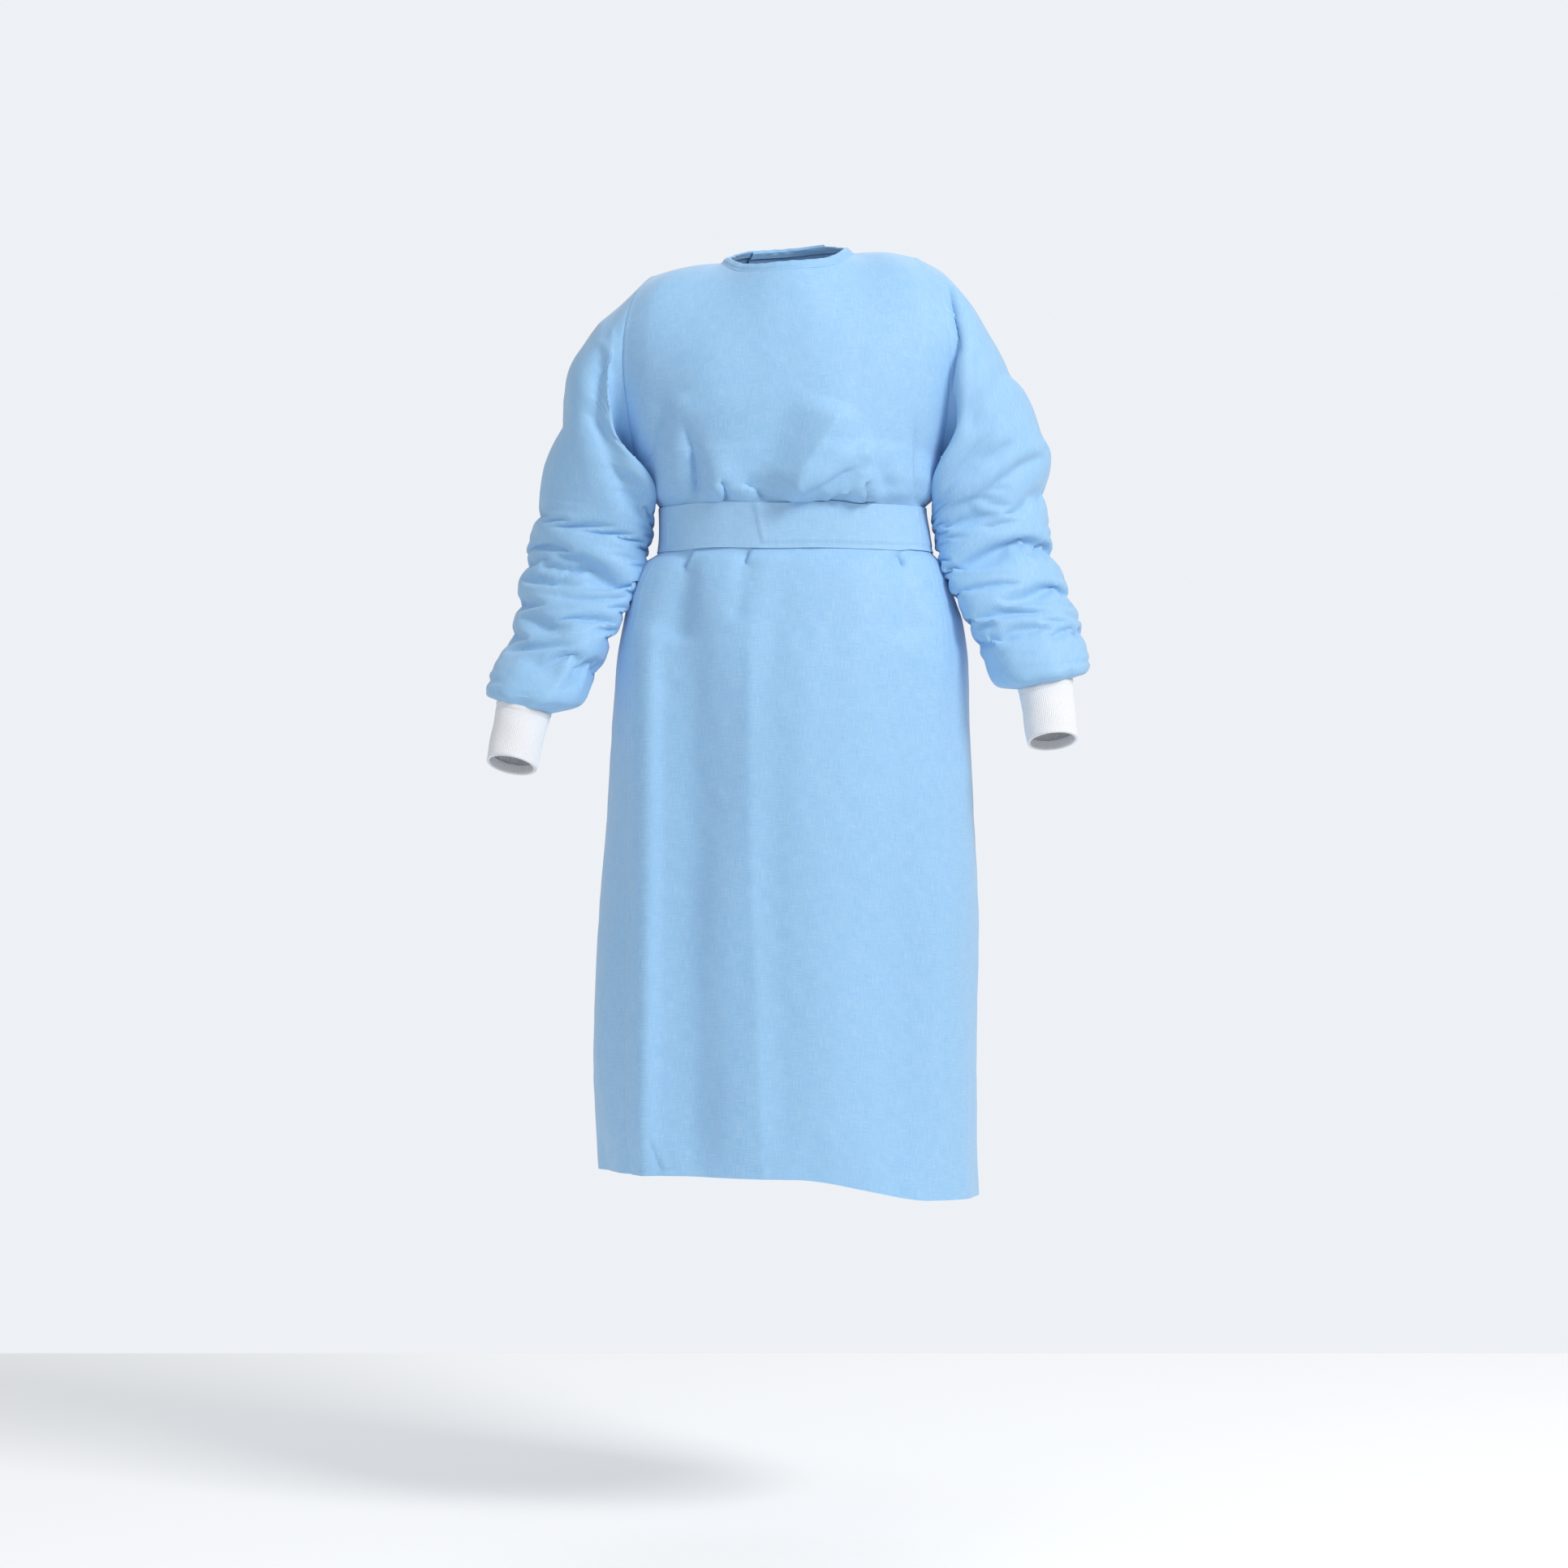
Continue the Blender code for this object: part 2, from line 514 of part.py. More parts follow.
def body_relief(point, normal):
    """Height of the body's folds at a point, front and back."""
    if BELT_BOTTOM - BELT_MARGIN <= point.z <= BELT_TOP + BELT_MARGIN:
        return 0.0
    front = smooth(-normal.y * FOLD_WEIGHT_SLOPE) * fold_height(FRONT_FOLDS, point)
    back = smooth(normal.y * FOLD_WEIGHT_SLOPE) * fold_height(BACK_FOLDS, point)
    return front + back


def folded(grid, normals):
    """A body grid with its folds raised along the normals."""
    return [[point + normals[key_of(point)] * body_relief(point, normals[key_of(point)]) for point in row]
            for row in grid]


def lap_rise(column):
    """How far a column of the outer back panel lies off the inner panel."""
    return LAP_RISE * smooth((column - SHOULDER_COLUMNS) / LAP_RISE_COLUMNS)


def belt_rise(half, column):
    """How far the lap lifts the belt off a back panel at one of its columns."""
    if half < 0:
        return lap_rise(column)
    return LAP_RISE * smooth((column - HALF_COLUMNS + LAP_COLUMNS) / BELT_STEP_COLUMNS + 1.0)


def binding_rise(index):
    """How far the neck binding lies off its seam where it is sewn to the outer back panel."""
    columns_left = HALF_NECK_COLUMNS + LAP_COLUMNS - index
    return lap_rise(SHOULDER_COLUMNS + columns_left) if columns_left > 0 else 0.0


def underarm_corner(index):
    """1 at the underarm end of the armhole seam, 0 away from it."""
    return smooth((math.cos(math.radians(ring_turn(index))) - UNDERARM_START) / UNDERARM_SPREAD)


def shoulder_corner(index):
    """1 on the neck binding beside the end of a shoulder seam, 0 away from it."""
    middle = 2 * HALF_NECK_COLUMNS + LAP_COLUMNS
    return 1.0 if abs(abs(index - middle) - HALF_NECK_COLUMNS) <= 1 else 0.0


# ------------------------------------------------------------------ closed walls
def pulled(layer, closed, corner):
    """A layer of points with its open edges drawn in, and its first row further at corners."""
    def towards(point, neighbour, pull=SEAM_PULL):
        return point + (neighbour - point).normalized() * pull

    rows = [list(row) for row in layer]
    rows[0] = [towards(point, layer[1][k], SEAM_PULL + CORNER_PULL * corner(k))
               for k, point in enumerate(layer[0])]
    rows[-1] = [towards(point, inside) for point, inside in zip(layer[-1], layer[-2])]
    if not closed:
        for row in rows:
            row[0], row[-1] = towards(row[0], row[1]), towards(row[-1], row[-2])
    return rows


def make_wall(name, grid, normals, wall, material, closed=False, lift=None, corner=lambda k: 0.0):
    """A closed wall of even thickness about a grid of points. corner: 1 where its seam turns."""
    def layer(side):
        moved = []
        for row in grid:
            moved.append([point + normals[key_of(point)] * (side * wall / 2.0 + (lift(k) if lift else 0.0))
                          for k, point in enumerate(row)])
        return pulled(moved, closed, corner)

    mesh = bmesh.new()
    outer = [[mesh.verts.new(point) for point in row] for row in layer(1.0)]
    inner = [[mesh.verts.new(point) for point in row] for row in layer(-1.0)]
    rows, width = len(grid), len(grid[0])
    spans = width if closed else width - 1

    def split(a, b, c, d):
        """Two triangles that share the line from a to c."""
        mesh.faces.new((a, b, c))
        mesh.faces.new((a, c, d))

    for row in range(rows - 1):
        for k in range(spans):
            following = (k + 1) % width
            split(outer[row][k], outer[row][following], outer[row + 1][following], outer[row + 1][k])
            split(inner[row][k], inner[row + 1][k], inner[row + 1][following], inner[row][following])
    for k in range(spans):
        following = (k + 1) % width
        rim = (inner[0][k], inner[0][following], outer[0][following], outer[0][k])
        beyond_top = closed and k >= spans // 2     # so that the rim is split like the one it meets
        split(*(rim[1:] + rim[:1] if beyond_top else rim))
        split(outer[-1][k], outer[-1][following], inner[-1][following], inner[-1][k])
    if not closed:
        for row in range(rows - 1):
            split(outer[row + 1][0], inner[row + 1][0], inner[row][0], outer[row][0])
            split(outer[row + 1][-1], outer[row][-1], inner[row][-1], inner[row + 1][-1])
    bmesh.ops.recalc_face_normals(mesh, faces=mesh.faces)
    return finish(name, mesh, material)


def finish(name, mesh, material):
    """Put a bmesh into the scene as a named, smooth-shaded object."""
    data = bpy.data.meshes.new(name)
    mesh.to_mesh(data)
    mesh.free()
    data.materials.append(material)
    data.shade_smooth()
    data.set_sharp_from_angle(angle=math.radians(SHARP_DEGREES))
    piece = bpy.data.objects.new(name, data)
    bpy.context.scene.collection.objects.link(piece)
    return piece


def make_material(finish_row):
    """A matt Principled material from its row of sizes and colours."""
    material = bpy.data.materials.new(finish_row.slot)
    material.use_nodes = True
    shader = material.node_tree.nodes["Principled BSDF"]
    shader.inputs["Base Color"].default_value = finish_row.colour
    shader.inputs["Roughness"].default_value = finish_row.roughness
    shader.inputs["Metallic"].default_value = 0.0
    return material


# ------------------------------------------------------------------ belt, knot, tails and fastener
def belt_rows():
    """Places of the belt's rows among the body's rows."""
    return [k for k, z in enumerate(body_rows()) if BELT_BOTTOM - SAME_LEVEL <= z <= BELT_TOP + SAME_LEVEL]


def belt_grid(front, backs, normals):
    """The belt's points: the body's own at the waist, moved out over the panels and the lap."""
    grid = []
    off_panel = CLOTH_WALL + LAYER_GAP
    for row in belt_rows():
        line = [(point, 0.0) for point in front[row]]
        line += [(backs[1][row][k], belt_rise(1, k)) for k in range(1, HALF_COLUMNS + 1)]
        line += [(backs[-1][row][k], belt_rise(-1, k)) for k in range(HALF_COLUMNS - 1, 0, -1)]
        grid.append([point + normals[key_of(point)] * (off_panel + rise) for point, rise in line])
    return grid


def make_knot(seat_y, material):
    """The knot: a rounded, slightly pinched block on the belt at centre back."""
    mesh = bmesh.new()
    bmesh.ops.create_uvsphere(mesh, u_segments=KNOT_SEGMENTS, v_segments=KNOT_RINGS, radius=1.0)
    centre = Vector((0.0, seat_y + KNOT_HALF.y, (BELT_BOTTOM + BELT_TOP) / 2.0))
    for vert in mesh.verts:
        pinch = 1.0 - KNOT_PINCH * math.exp(-(vert.co.x / KNOT_PINCH_WIDTH) ** 2)
        vert.co = centre + KNOT_HALF * Vector((vert.co.x, vert.co.y, vert.co.z * pinch))
    bmesh.ops.recalc_face_normals(mesh, faces=mesh.faces)
    return finish("belt_knot", mesh, material)


def between_points(grid, row, column):
    """A point at any place of a grid, between its four neighbours."""
    low, left = min(int(row), len(grid) - 2), min(int(column), len(grid[0]) - 2)
    below = grid[low][left].lerp(grid[low][left + 1], column - left)
    above = grid[low + 1][left].lerp(grid[low + 1][left + 1], column - left)
    return below.lerp(above, row - low)


def make_tail(name, tail, panel, normals, material):
    """One belt tail, lying down the outer back panel from just under the belt."""
    outward = [[normals[key_of(point)] for point in row] for row in panel]
    first = belt_rows()[0]
    rows = [float(row) for row in range(tail.last_row, first)] + [first - TAIL_START]
    grid, tail_normals = [], {}
    for row in rows:
        line = []
        for column in (tail.column - TAIL_REACH, tail.column, tail.column + TAIL_REACH):
            normal = between_points(outward, row, column).normalized()
            point = between_points(panel, row, column) + normal * (LAP_RISE + CLOTH_WALL + TAIL_GAP)
            tail_normals[key_of(point)] = normal
            line.append(point)
        grid.append(line)
    return make_wall(name, grid, tail_normals, CLOTH_WALL, material)


def make_fastener(back_left, normals, material):
    """The hook-and-loop patch in the lap, just below the neck binding."""
    columns = range(HALF_COLUMNS - 1, HALF_COLUMNS + 2)
    low, high = ([row[k] for k in columns] for row in back_left[-3:-1])
    middle = [below.lerp(above, 0.5) for below, above in zip(low, high)]
    patch_normals = {key_of(point): normals[key_of(point)] for point in low + high}
    patch_normals.update({key_of(point): normals[key_of(below)] for point, below in zip(middle, low)})
    return make_wall("neck_fastener", [low, middle, high], patch_normals, FASTENER_WALL, material,
                     lift=lambda k: LAP_RISE / 2.0)


def build_gown():
    """Build every piece of the gown."""
    for thing in list(bpy.data.objects):
        bpy.data.objects.remove(thing, do_unlink=True)
    cloth, knit, tape = (make_material(row) for row in (CLOTH, KNIT, TAPE))

    front = front_grid()
    backs = {half: back_grid(half) for half in (-1, 1)}
    sleeves = {half: sleeve_grid(half) for half in (-1, 1)}
    cuffs = {half: cuff_grid(half, sleeves[half][-1]) for half in (-1, 1)}
    binding = binding_grid()
    plain = weld_normals(front, backs, sleeves, cuffs, binding)
    front = folded(front, plain)
    backs = {half: folded(backs[half], plain) for half in (-1, 1)}
    for half in (-1, 1):
        sleeves[half][0] = folded([sleeves[half][0]], plain)[0]
    normals = weld_normals(front, backs, sleeves, cuffs, binding)

    make_wall("front", front, normals, CLOTH_WALL, cloth)
    make_wall("back_left", backs[1], normals, CLOTH_WALL, cloth)
    make_wall("back_right", backs[-1], normals, CLOTH_WALL, cloth, lift=lap_rise)
    for half, side in ((1, "left"), (-1, "right")):
        make_wall("sleeve_" + side, sleeves[half], normals, CLOTH_WALL, cloth, closed=True,
                  corner=underarm_corner)
        make_wall("cuff_" + side, cuffs[half], normals, CUFF_WALL, knit, closed=True)
    make_wall("neck_binding", binding, normals, BINDING_WALL, cloth, lift=binding_rise,
              corner=shoulder_corner)

    belt = belt_grid(front, backs, normals)
    make_wall("belt", belt, surface_normals([[(belt, True, False)]]), CLOTH_WALL, cloth, closed=True)
    make_knot(max(point.y for row in belt for point in row) + CLOTH_WALL / 2.0 + LAYER_GAP, cloth)
    make_tail("belt_tail_left", TAILS[1], backs[-1], normals, cloth)
    make_tail("belt_tail_right", TAILS[-1], backs[-1], normals, cloth)
    make_fastener(backs[1], normals, tape)


build_gown()
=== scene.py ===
# %% [markdown]
# # A worn procedure gown
# The gown is light nonwoven cloth: a closed front, a lapped back, set-in sleeves pushed up the arms,
# knit cuffs, a bound neck and a belt tied behind. Nobody is in it, so every opening stays open.
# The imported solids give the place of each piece. This lesson dresses them in thin cloth.

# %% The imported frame
import math
from collections import namedtuple

import bmesh
import bpy
import numpy as np
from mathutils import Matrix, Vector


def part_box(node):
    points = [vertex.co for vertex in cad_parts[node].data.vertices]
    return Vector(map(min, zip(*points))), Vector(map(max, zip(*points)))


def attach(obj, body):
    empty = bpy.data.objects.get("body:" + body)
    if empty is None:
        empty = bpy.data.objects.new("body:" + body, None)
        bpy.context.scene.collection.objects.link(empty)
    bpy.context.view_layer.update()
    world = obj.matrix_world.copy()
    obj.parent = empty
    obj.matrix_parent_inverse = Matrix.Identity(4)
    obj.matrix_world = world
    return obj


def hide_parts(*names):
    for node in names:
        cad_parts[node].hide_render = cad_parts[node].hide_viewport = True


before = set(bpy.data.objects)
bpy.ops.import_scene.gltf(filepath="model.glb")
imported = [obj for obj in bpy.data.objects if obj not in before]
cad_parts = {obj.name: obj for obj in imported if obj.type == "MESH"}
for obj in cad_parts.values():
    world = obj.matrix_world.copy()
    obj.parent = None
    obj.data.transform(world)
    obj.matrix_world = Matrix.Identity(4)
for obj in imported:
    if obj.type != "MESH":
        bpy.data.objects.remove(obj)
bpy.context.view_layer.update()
print("solids:", sorted(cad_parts))

# %% [markdown]
# ## Camera and room
# The gown is seen straight on from four and a half metres, level with its waist, so that little
# perspective shows. The light is soft: a wide key from the front right and above, a weak fill from
# the left, one lamp behind, and a bright room all round. Seen directly, the room is brighter than
# the light it gives, as a lit white backdrop is, and the pale floor glows a little to match it.

# %% Camera
CAMERA_DISTANCE = 4.5
CAMERA_X, CAMERA_Z = -0.0067, -0.619
FRAME_PIXELS, PIXELS_PER_METRE = 1932, 1050
SENSOR_MM = 36.0

camera_data = bpy.data.cameras.new("camera")
camera_data.sensor_width = SENSOR_MM
camera_data.lens = SENSOR_MM * CAMERA_DISTANCE * PIXELS_PER_METRE / FRAME_PIXELS
camera = bpy.data.objects.new("camera", camera_data)
camera.location = (CAMERA_X, -CAMERA_DISTANCE, CAMERA_Z)
camera.rotation_euler = (math.radians(90.0), 0.0, 0.0)
bpy.context.scene.collection.objects.link(camera)
bpy.context.scene.camera = camera
print("lens", round(camera_data.lens, 1), "mm")

# %% Floor, room and light
FLOOR_Z = -1.48
FLOOR_HALF, FLOOR_COLOUR, FLOOR_GLOW = 1.3, (0.95, 0.95, 0.95), 0.12
ROOM_COLOUR = (0.945, 0.978, 1.02, 1.0)
ROOM_LIGHT, ROOM_SEEN = 0.54, 0.90      # the room's brightness on the cloth, and as a backdrop


def plain_sheet(name, corners, colour, glow):
    """A flat pale surface of the room."""
    mesh = bpy.data.meshes.new(name)
    mesh.from_pydata(corners, [], [(0, 1, 2, 3)])
    surface = bpy.data.objects.new(name, mesh)
    bpy.context.scene.collection.objects.link(surface)
    paint = bpy.data.materials.new(name)
    paint.use_nodes = True
    shader = paint.node_tree.nodes["Principled BSDF"]
    shader.inputs["Base Color"].default_value = (*colour, 1.0)
    shader.inputs["Roughness"].default_value = 0.9
    shader.inputs["Emission Color"].default_value = (1.0, 1.0, 1.0, 1.0)
    shader.inputs["Emission Strength"].default_value = glow
    mesh.materials.append(paint)


def area_light(name, place, target, size, power, colour):
    """A soft square lamp that points at a place on the gown."""
    lamp = bpy.data.lights.new(name, "AREA")
    lamp.shape, lamp.size, lamp.energy, lamp.color = "SQUARE", size, power, colour
    holder = bpy.data.objects.new(name, lamp)
    holder.location = place
    aim = np.array(target) - np.array(place)
    holder.rotation_euler = (math.acos(-aim[2] / np.linalg.norm(aim)), 0.0, math.atan2(-aim[0], aim[1]))
    bpy.context.scene.collection.objects.link(holder)


floor_corners = [(x * FLOOR_HALF, y * FLOOR_HALF, FLOOR_Z) for x, y in ((-1, -1), (1, -1), (1, 1), (-1, 1))]
plain_sheet("floor", floor_corners, FLOOR_COLOUR, FLOOR_GLOW)
area_light("key", (2.6, -2.4, 2.2), (0.0, 0.0, -0.5), 1.4, 116.0, (1.0, 0.99, 0.97))
area_light("fill", (-2.8, -3.0, 0.6), (0.0, 0.0, -0.6), 2.2, 12.0, (0.96, 0.98, 1.0))
area_light("rim", (0.5, 3.0, 2.2), (0.0, 0.0, -0.4), 1.8, 20.0, (1.0, 1.0, 1.0))

world = bpy.data.worlds.new("room")
world.use_nodes = True
tree = world.node_tree
tree.nodes["Background"].inputs["Color"].default_value = ROOM_COLOUR
seen, lit = tree.nodes.new("ShaderNodeLightPath"), tree.nodes.new("ShaderNodeMapRange")
lit.inputs["To Min"].default_value, lit.inputs["To Max"].default_value = ROOM_LIGHT, ROOM_SEEN
tree.links.new(seen.outputs["Is Camera Ray"], lit.inputs["Value"])
tree.links.new(lit.outputs["Result"], tree.nodes["Background"].inputs["Strength"])
bpy.context.scene.world = world
bpy.context.scene.view_settings.view_transform = "Standard"
print("room ready")

# %% [markdown]
# ## Finishes
# The cloth is a nonwoven of fine spun threads pressed together. Close up it shows a crossed grain,
# faint clouds where the web is thicker, and a soft sheen. The pattern is laid on the cloth's own
# flat measure in metres, kept in a UV map, so that it follows every fold.

# %% Materials
LAY = "cloth_lay"
FINE, LONG, CLOUDY = 1400.0, 60.0, 70.0         # noise per metre of cloth: across threads, along them, clouds
GRAIN_SHARE, CLOUD_SHARE = 0.88, 0.12


def new_finish(name, roughness, sheen):
    """A material with its Principled shader, its node list and its links."""
    finish = bpy.data.materials.new(name)
    finish.use_nodes = True
    tree = finish.node_tree
    shader = tree.nodes["Principled BSDF"]
    shader.inputs["Roughness"].default_value = roughness
    shader.inputs["Sheen Weight"].default_value = sheen
    shader.inputs["Sheen Roughness"].default_value = 0.45
    shader.inputs["Specular IOR Level"].default_value = 0.35
    return finish, tree, shader


def node(tree, kind, **values):
    """A shader node with its settings, and its sockets' values where a key names a socket."""
    made = tree.nodes.new(kind)
    for key, value in values.items():
        if key in made.inputs:
            made.inputs[key].default_value = value
        else:
            setattr(made, key, value)
    return made


def stretched_noise(tree, along, across, detail, scale=1.0):
    """Noise on the cloth's own lay, drawn out into short threads."""
    lay = node(tree, "ShaderNodeUVMap", uv_map=LAY)
    stretch = node(tree, "ShaderNodeMapping")
    stretch.inputs["Scale"].default_value = (along, across, 1.0)
    noise = node(tree, "ShaderNodeTexNoise", Scale=scale, Detail=detail, Roughness=0.6)
    tree.links.new(lay.outputs["UV"], stretch.inputs["Vector"])
    tree.links.new(stretch.outputs["Vector"], noise.inputs["Vector"])
    return noise.outputs["Fac"]


def sum_of(tree, first, second, operation="ADD"):
    """One math node on two outputs, or on an output and a number."""
    math_node = node(tree, "ShaderNodeMath", operation=operation)
    for socket, value in zip(math_node.inputs, (first, second)):
        if isinstance(value, float):
            socket.default_value = value
        else:
            tree.links.new(value, socket)
    return math_node.outputs["Value"]


def colour_by(tree, shader, tone, *stops):
    """Colour a finish by a tone. Each stop is a place from 0 to 1 and its colour."""
    ramp = node(tree, "ShaderNodeValToRGB")
    marks = ramp.color_ramp.elements
    marks[0].position, marks[1].position = stops[0][0], stops[-1][0]
    for place, _ in stops[1:-1]:
        marks.new(place)
    for mark, (_, colour) in zip(marks, stops):
        mark.color = (*colour, 1.0)
    tree.links.new(tone, ramp.inputs["Fac"])
    tree.links.new(ramp.outputs["Color"], shader.inputs["Base Color"])


def raise_by(tree, shader, height, strength, distance):
    """Give a finish a fine relief."""
    relief = node(tree, "ShaderNodeBump", Strength=strength, Distance=distance)
    tree.links.new(height, relief.inputs["Height"])
    tree.links.new(relief.outputs["Normal"], shader.inputs["Normal"])


def nonwoven(name, deep, base, pale):
    """Pale nonwoven cloth with a crossed grain and faint clouds."""
    finish, tree, shader = new_finish(name, 0.58, 0.35)
    warp, weft = stretched_noise(tree, FINE, LONG, 2.0), stretched_noise(tree, LONG, FINE, 2.0)
    grain = sum_of(tree, sum_of(tree, warp, weft), 0.5, "MULTIPLY")
    clouds = stretched_noise(tree, CLOUDY, CLOUDY, 3.0)
    tone = sum_of(tree, sum_of(tree, grain, GRAIN_SHARE, "MULTIPLY"),
                  sum_of(tree, clouds, CLOUD_SHARE, "MULTIPLY"))
    colour_by(tree, shader, tone, (0.40, deep), (0.50, base), (0.60, pale))
    raise_by(tree, shader, grain, 0.25, 0.0004)
    return finish


def knit(name):
    """White cotton and polyester rib knit: soft, matt, a little fuzzy."""
    finish, tree, shader = new_finish(name, 0.85, 0.5)
    loops = stretched_noise(tree, 900.0, 700.0, 2.0)
    colour_by(tree, shader, loops, (0.30, (0.79, 0.80, 0.83)), (0.65, (0.93, 0.93, 0.94)))
    raise_by(tree, shader, loops, 0.35, 0.0005)
    return finish


def thread(name, dark, light):
    """Twisted sewing thread: fine slanted bands with a little sheen."""
    finish, tree, shader = new_finish(name, 0.6, 0.2)
    place = node(tree, "ShaderNodeTexCoord")
    twist = node(tree, "ShaderNodeTexWave", Scale=1500.0, Distortion=1.5, bands_direction="DIAGONAL")
    tree.links.new(place.outputs["Object"], twist.inputs["Vector"])
    colour_by(tree, shader, twist.outputs["Fac"], (0.0, dark), (1.0, light))
    return finish


gown_cloth = nonwoven("gown_cloth", (0.295, 0.555, 0.860), (0.335, 0.595, 0.880), (0.400, 0.650, 0.910))
belt_cloth = nonwoven("belt_cloth", (0.330, 0.585, 0.875), (0.365, 0.620, 0.895), (0.425, 0.670, 0.915))
binding_cloth = nonwoven("binding_cloth", (0.280, 0.540, 0.850), (0.315, 0.575, 0.870), (0.37, 0.625, 0.90))
cuff_knit = knit("cuff_knit")
sewing_thread = thread("sewing_thread", (0.36, 0.58, 0.84), (0.52, 0.72, 0.93))
print("finishes:", [m.name for m in (gown_cloth, belt_cloth, binding_cloth, cuff_knit)])

# %% [markdown]
# ## The gown's measures
# The tables repeat the solids' own sections: the body from hem to underarm, the neck, the chest and
# shoulder blades, and the rings of each sleeve. Lengths in them are whole millimetres where that
# is enough. Read through a smooth curve and on a net six times as fine, they give the same form
# without its flat faces. The folds of the front are redrawn at the chest.

# %% Tables
SHOULDER_COLUMNS, HALF_NECK_COLUMNS, LAP_COLUMNS, HALF_COLUMNS = 7, 5, 2, 12
SQUARENESS = 2.3
CLOTH_WALL = 0.0020             # wall of the solid; the thin cloth lies at its outer face
LAP_RISE = 0.0038               # how far the outer lap lies off the inner one


def rows_of(kind, units, *rows):
    """Rows of a table. units has a letter for each column: m is given in millimetres, 1 as it is."""
    return [kind(*(value / 1000 if unit == "m" else value for unit, value in zip(units, row)))
            for row in rows]


Section = namedtuple("Section", "z left right front back seam_left seam_right")
BODY = rows_of(Section, "mmmmm11",
    (-1085, 221.5, 218, 165, 172, 40, 45), (-930, 230, 217, 164, 171, 39, 44),
    (-750, 220, 220, 161, 168, 37, 42), (-650, 212.5, 215.5, 159, 165, 35, 40),
    (-560, 208, 210, 156, 160, 33, 38), (-480, 203, 208, 151, 152, 31, 35),
    (-430, 194, 201, 144, 142, 29, 32), (-400, 188, 191, 138, 134, 28, 30),
    (-375, 179, 183, 131, 124, 27, 28), (-360, 168, 176, 125, 117, 26, 27),
    (-349, 153, 166, 117, 108, 25, 26), (-323, 151, 161, 116, 107, 24, 25),
    (-296.5, 151.5, 157, 116.5, 107.5, 23, 24), (-284, 160, 168, 128, 115, 22, 23),
    (-262, 169, 175.5, 133, 120, 17, 17), (-235, 180, 176, 133, 122, 10, 10))
BELT_BOTTOM, BELT_TOP, UNDERARM_Z = BODY[10].z, BODY[12].z, BODY[-1].z
Hem = namedtuple("Hem", "angle z")
HEM = rows_of(Hem, "1m",
    (-180, -1092), (-120, -1078), (-90, -1068), (-40, -1065), (0, -1066), (45, -1095), (90, -1100),
    (135, -1102), (180, -1092))
HEM_FADE_TOP = -0.65
SHOULDER_TIPS = {-1: (-0.165, 0.004, -0.026), 1: (0.152, 0.004, -0.004)}
SHOULDER_SWELL = 0.004
Neck = namedtuple("Neck", "centre half_width front back z_side z_front z_back tilt")
NECK_EDGE = Neck(-0.003, 0.076, 0.086, 0.078, -0.003, -0.026, 0.008, 0.006)
NECK_TOP = Neck(-0.003, 0.069, 0.080, 0.072, 0.004, -0.0165, 0.017, 0.006)
Bulge = namedtuple("Bulge", "column depth z")
CHEST = rows_of(Bulge, "1mm",
    (0, 124, -82), (3, 126, -40), (5, 122, -28), (7, 120, -36), (9, 122, -65), (12, 125, -95))
SHOULDER_BLADES = rows_of(Bulge, "1mm",
    (0, 118, -78), (3, 124, -36), (5, 122, -22), (7, 118, -20), (9, 118, -36), (12, 118, -58))
ARMHOLE_SPREAD = 1.24
Ring = namedtuple("Ring", "along outer_x outer_z inner_x inner_z y half_depth")
SLEEVE_RINGS = {
    -1: rows_of(Ring, "1mmmmmm",
        (0, -165, -26, -180, -235, 0, 72), (0.07, -192, -53, -196, -238, 0, 77),
        (0.15, -226, -84, -201, -248, 4, 80), (0.25, -258, -136, -193, -262, 10, 81),
        (0.35, -267, -196, -181, -278, 16, 79), (0.45, -287, -254, -172, -298, 20, 75),
        (0.55, -297, -305, -167, -325, 20, 72), (0.65, -306, -350, -177, -357, 14, 70),
        (0.75, -316, -400, -197, -395, -2, 67), (0.85, -324, -450, -207, -440, -28, 63),
        (0.93, -345, -495, -225, -492, -56, 57), (0.97, -347, -515, -243, -527, -72, 48),
        (1, -336, -522, -275, -537, -85, 31)),
    1: rows_of(Ring, "1mmmmmm",
        (0, 152, -4, 176, -235, 0, 72), (0.07, 182, -22, 193, -238, 0, 77),
        (0.15, 210, -62, 198, -248, 4, 80), (0.25, 245, -112, 194, -261, 10, 81),
        (0.35, 277, -168, 188, -276, 16, 79), (0.45, 303, -230, 181, -296, 20, 75),
        (0.55, 300, -286, 175, -321, 20, 72), (0.65, 306, -340, 185, -352, 14, 70),
        (0.75, 322, -388, 202, -388, -2, 67), (0.85, 338, -436, 212, -430, -28, 63),
        (0.93, 344, -474, 226, -476, -54, 57), (0.97, 341, -489, 243, -506, -68, 48),
        (1, 325, -496, 264, -509, -78, 31)),
}
ARMHOLE_BLEND = 0.16
Bunch = namedtuple("Bunch", "outer front inner back depth puff")
SLEEVE_BUNCHES = {
    -1: rows_of(Bunch, "1111mm",
        (0.36, 0.27, 0.32, 0.4, 5, 6), (0.55, 0.58, 0.62, 0.55, 8.5, 11), (0.68, 0.7, 0.74, 0.67, 8.5, 10),
        (0.77, 0.82, 0.86, 0.78, 8.5, 9.5), (0.84, 0.92, 0.94, 0.88, 4, 7)),
    1: rows_of(Bunch, "1111mm",
        (0.3, 0.26, 0.3, 0.36, 5, 6), (0.42, 0.42, 0.44, 0.47, 5.5, 11), (0.54, 0.55, 0.58, 0.57, 9, 8.5),
        (0.68, 0.66, 0.7, 0.68, 9, 11), (0.78, 0.76, 0.8, 0.77, 6.5, 7.5), (0.87, 0.87, 0.9, 0.88, 5, 7)),
}
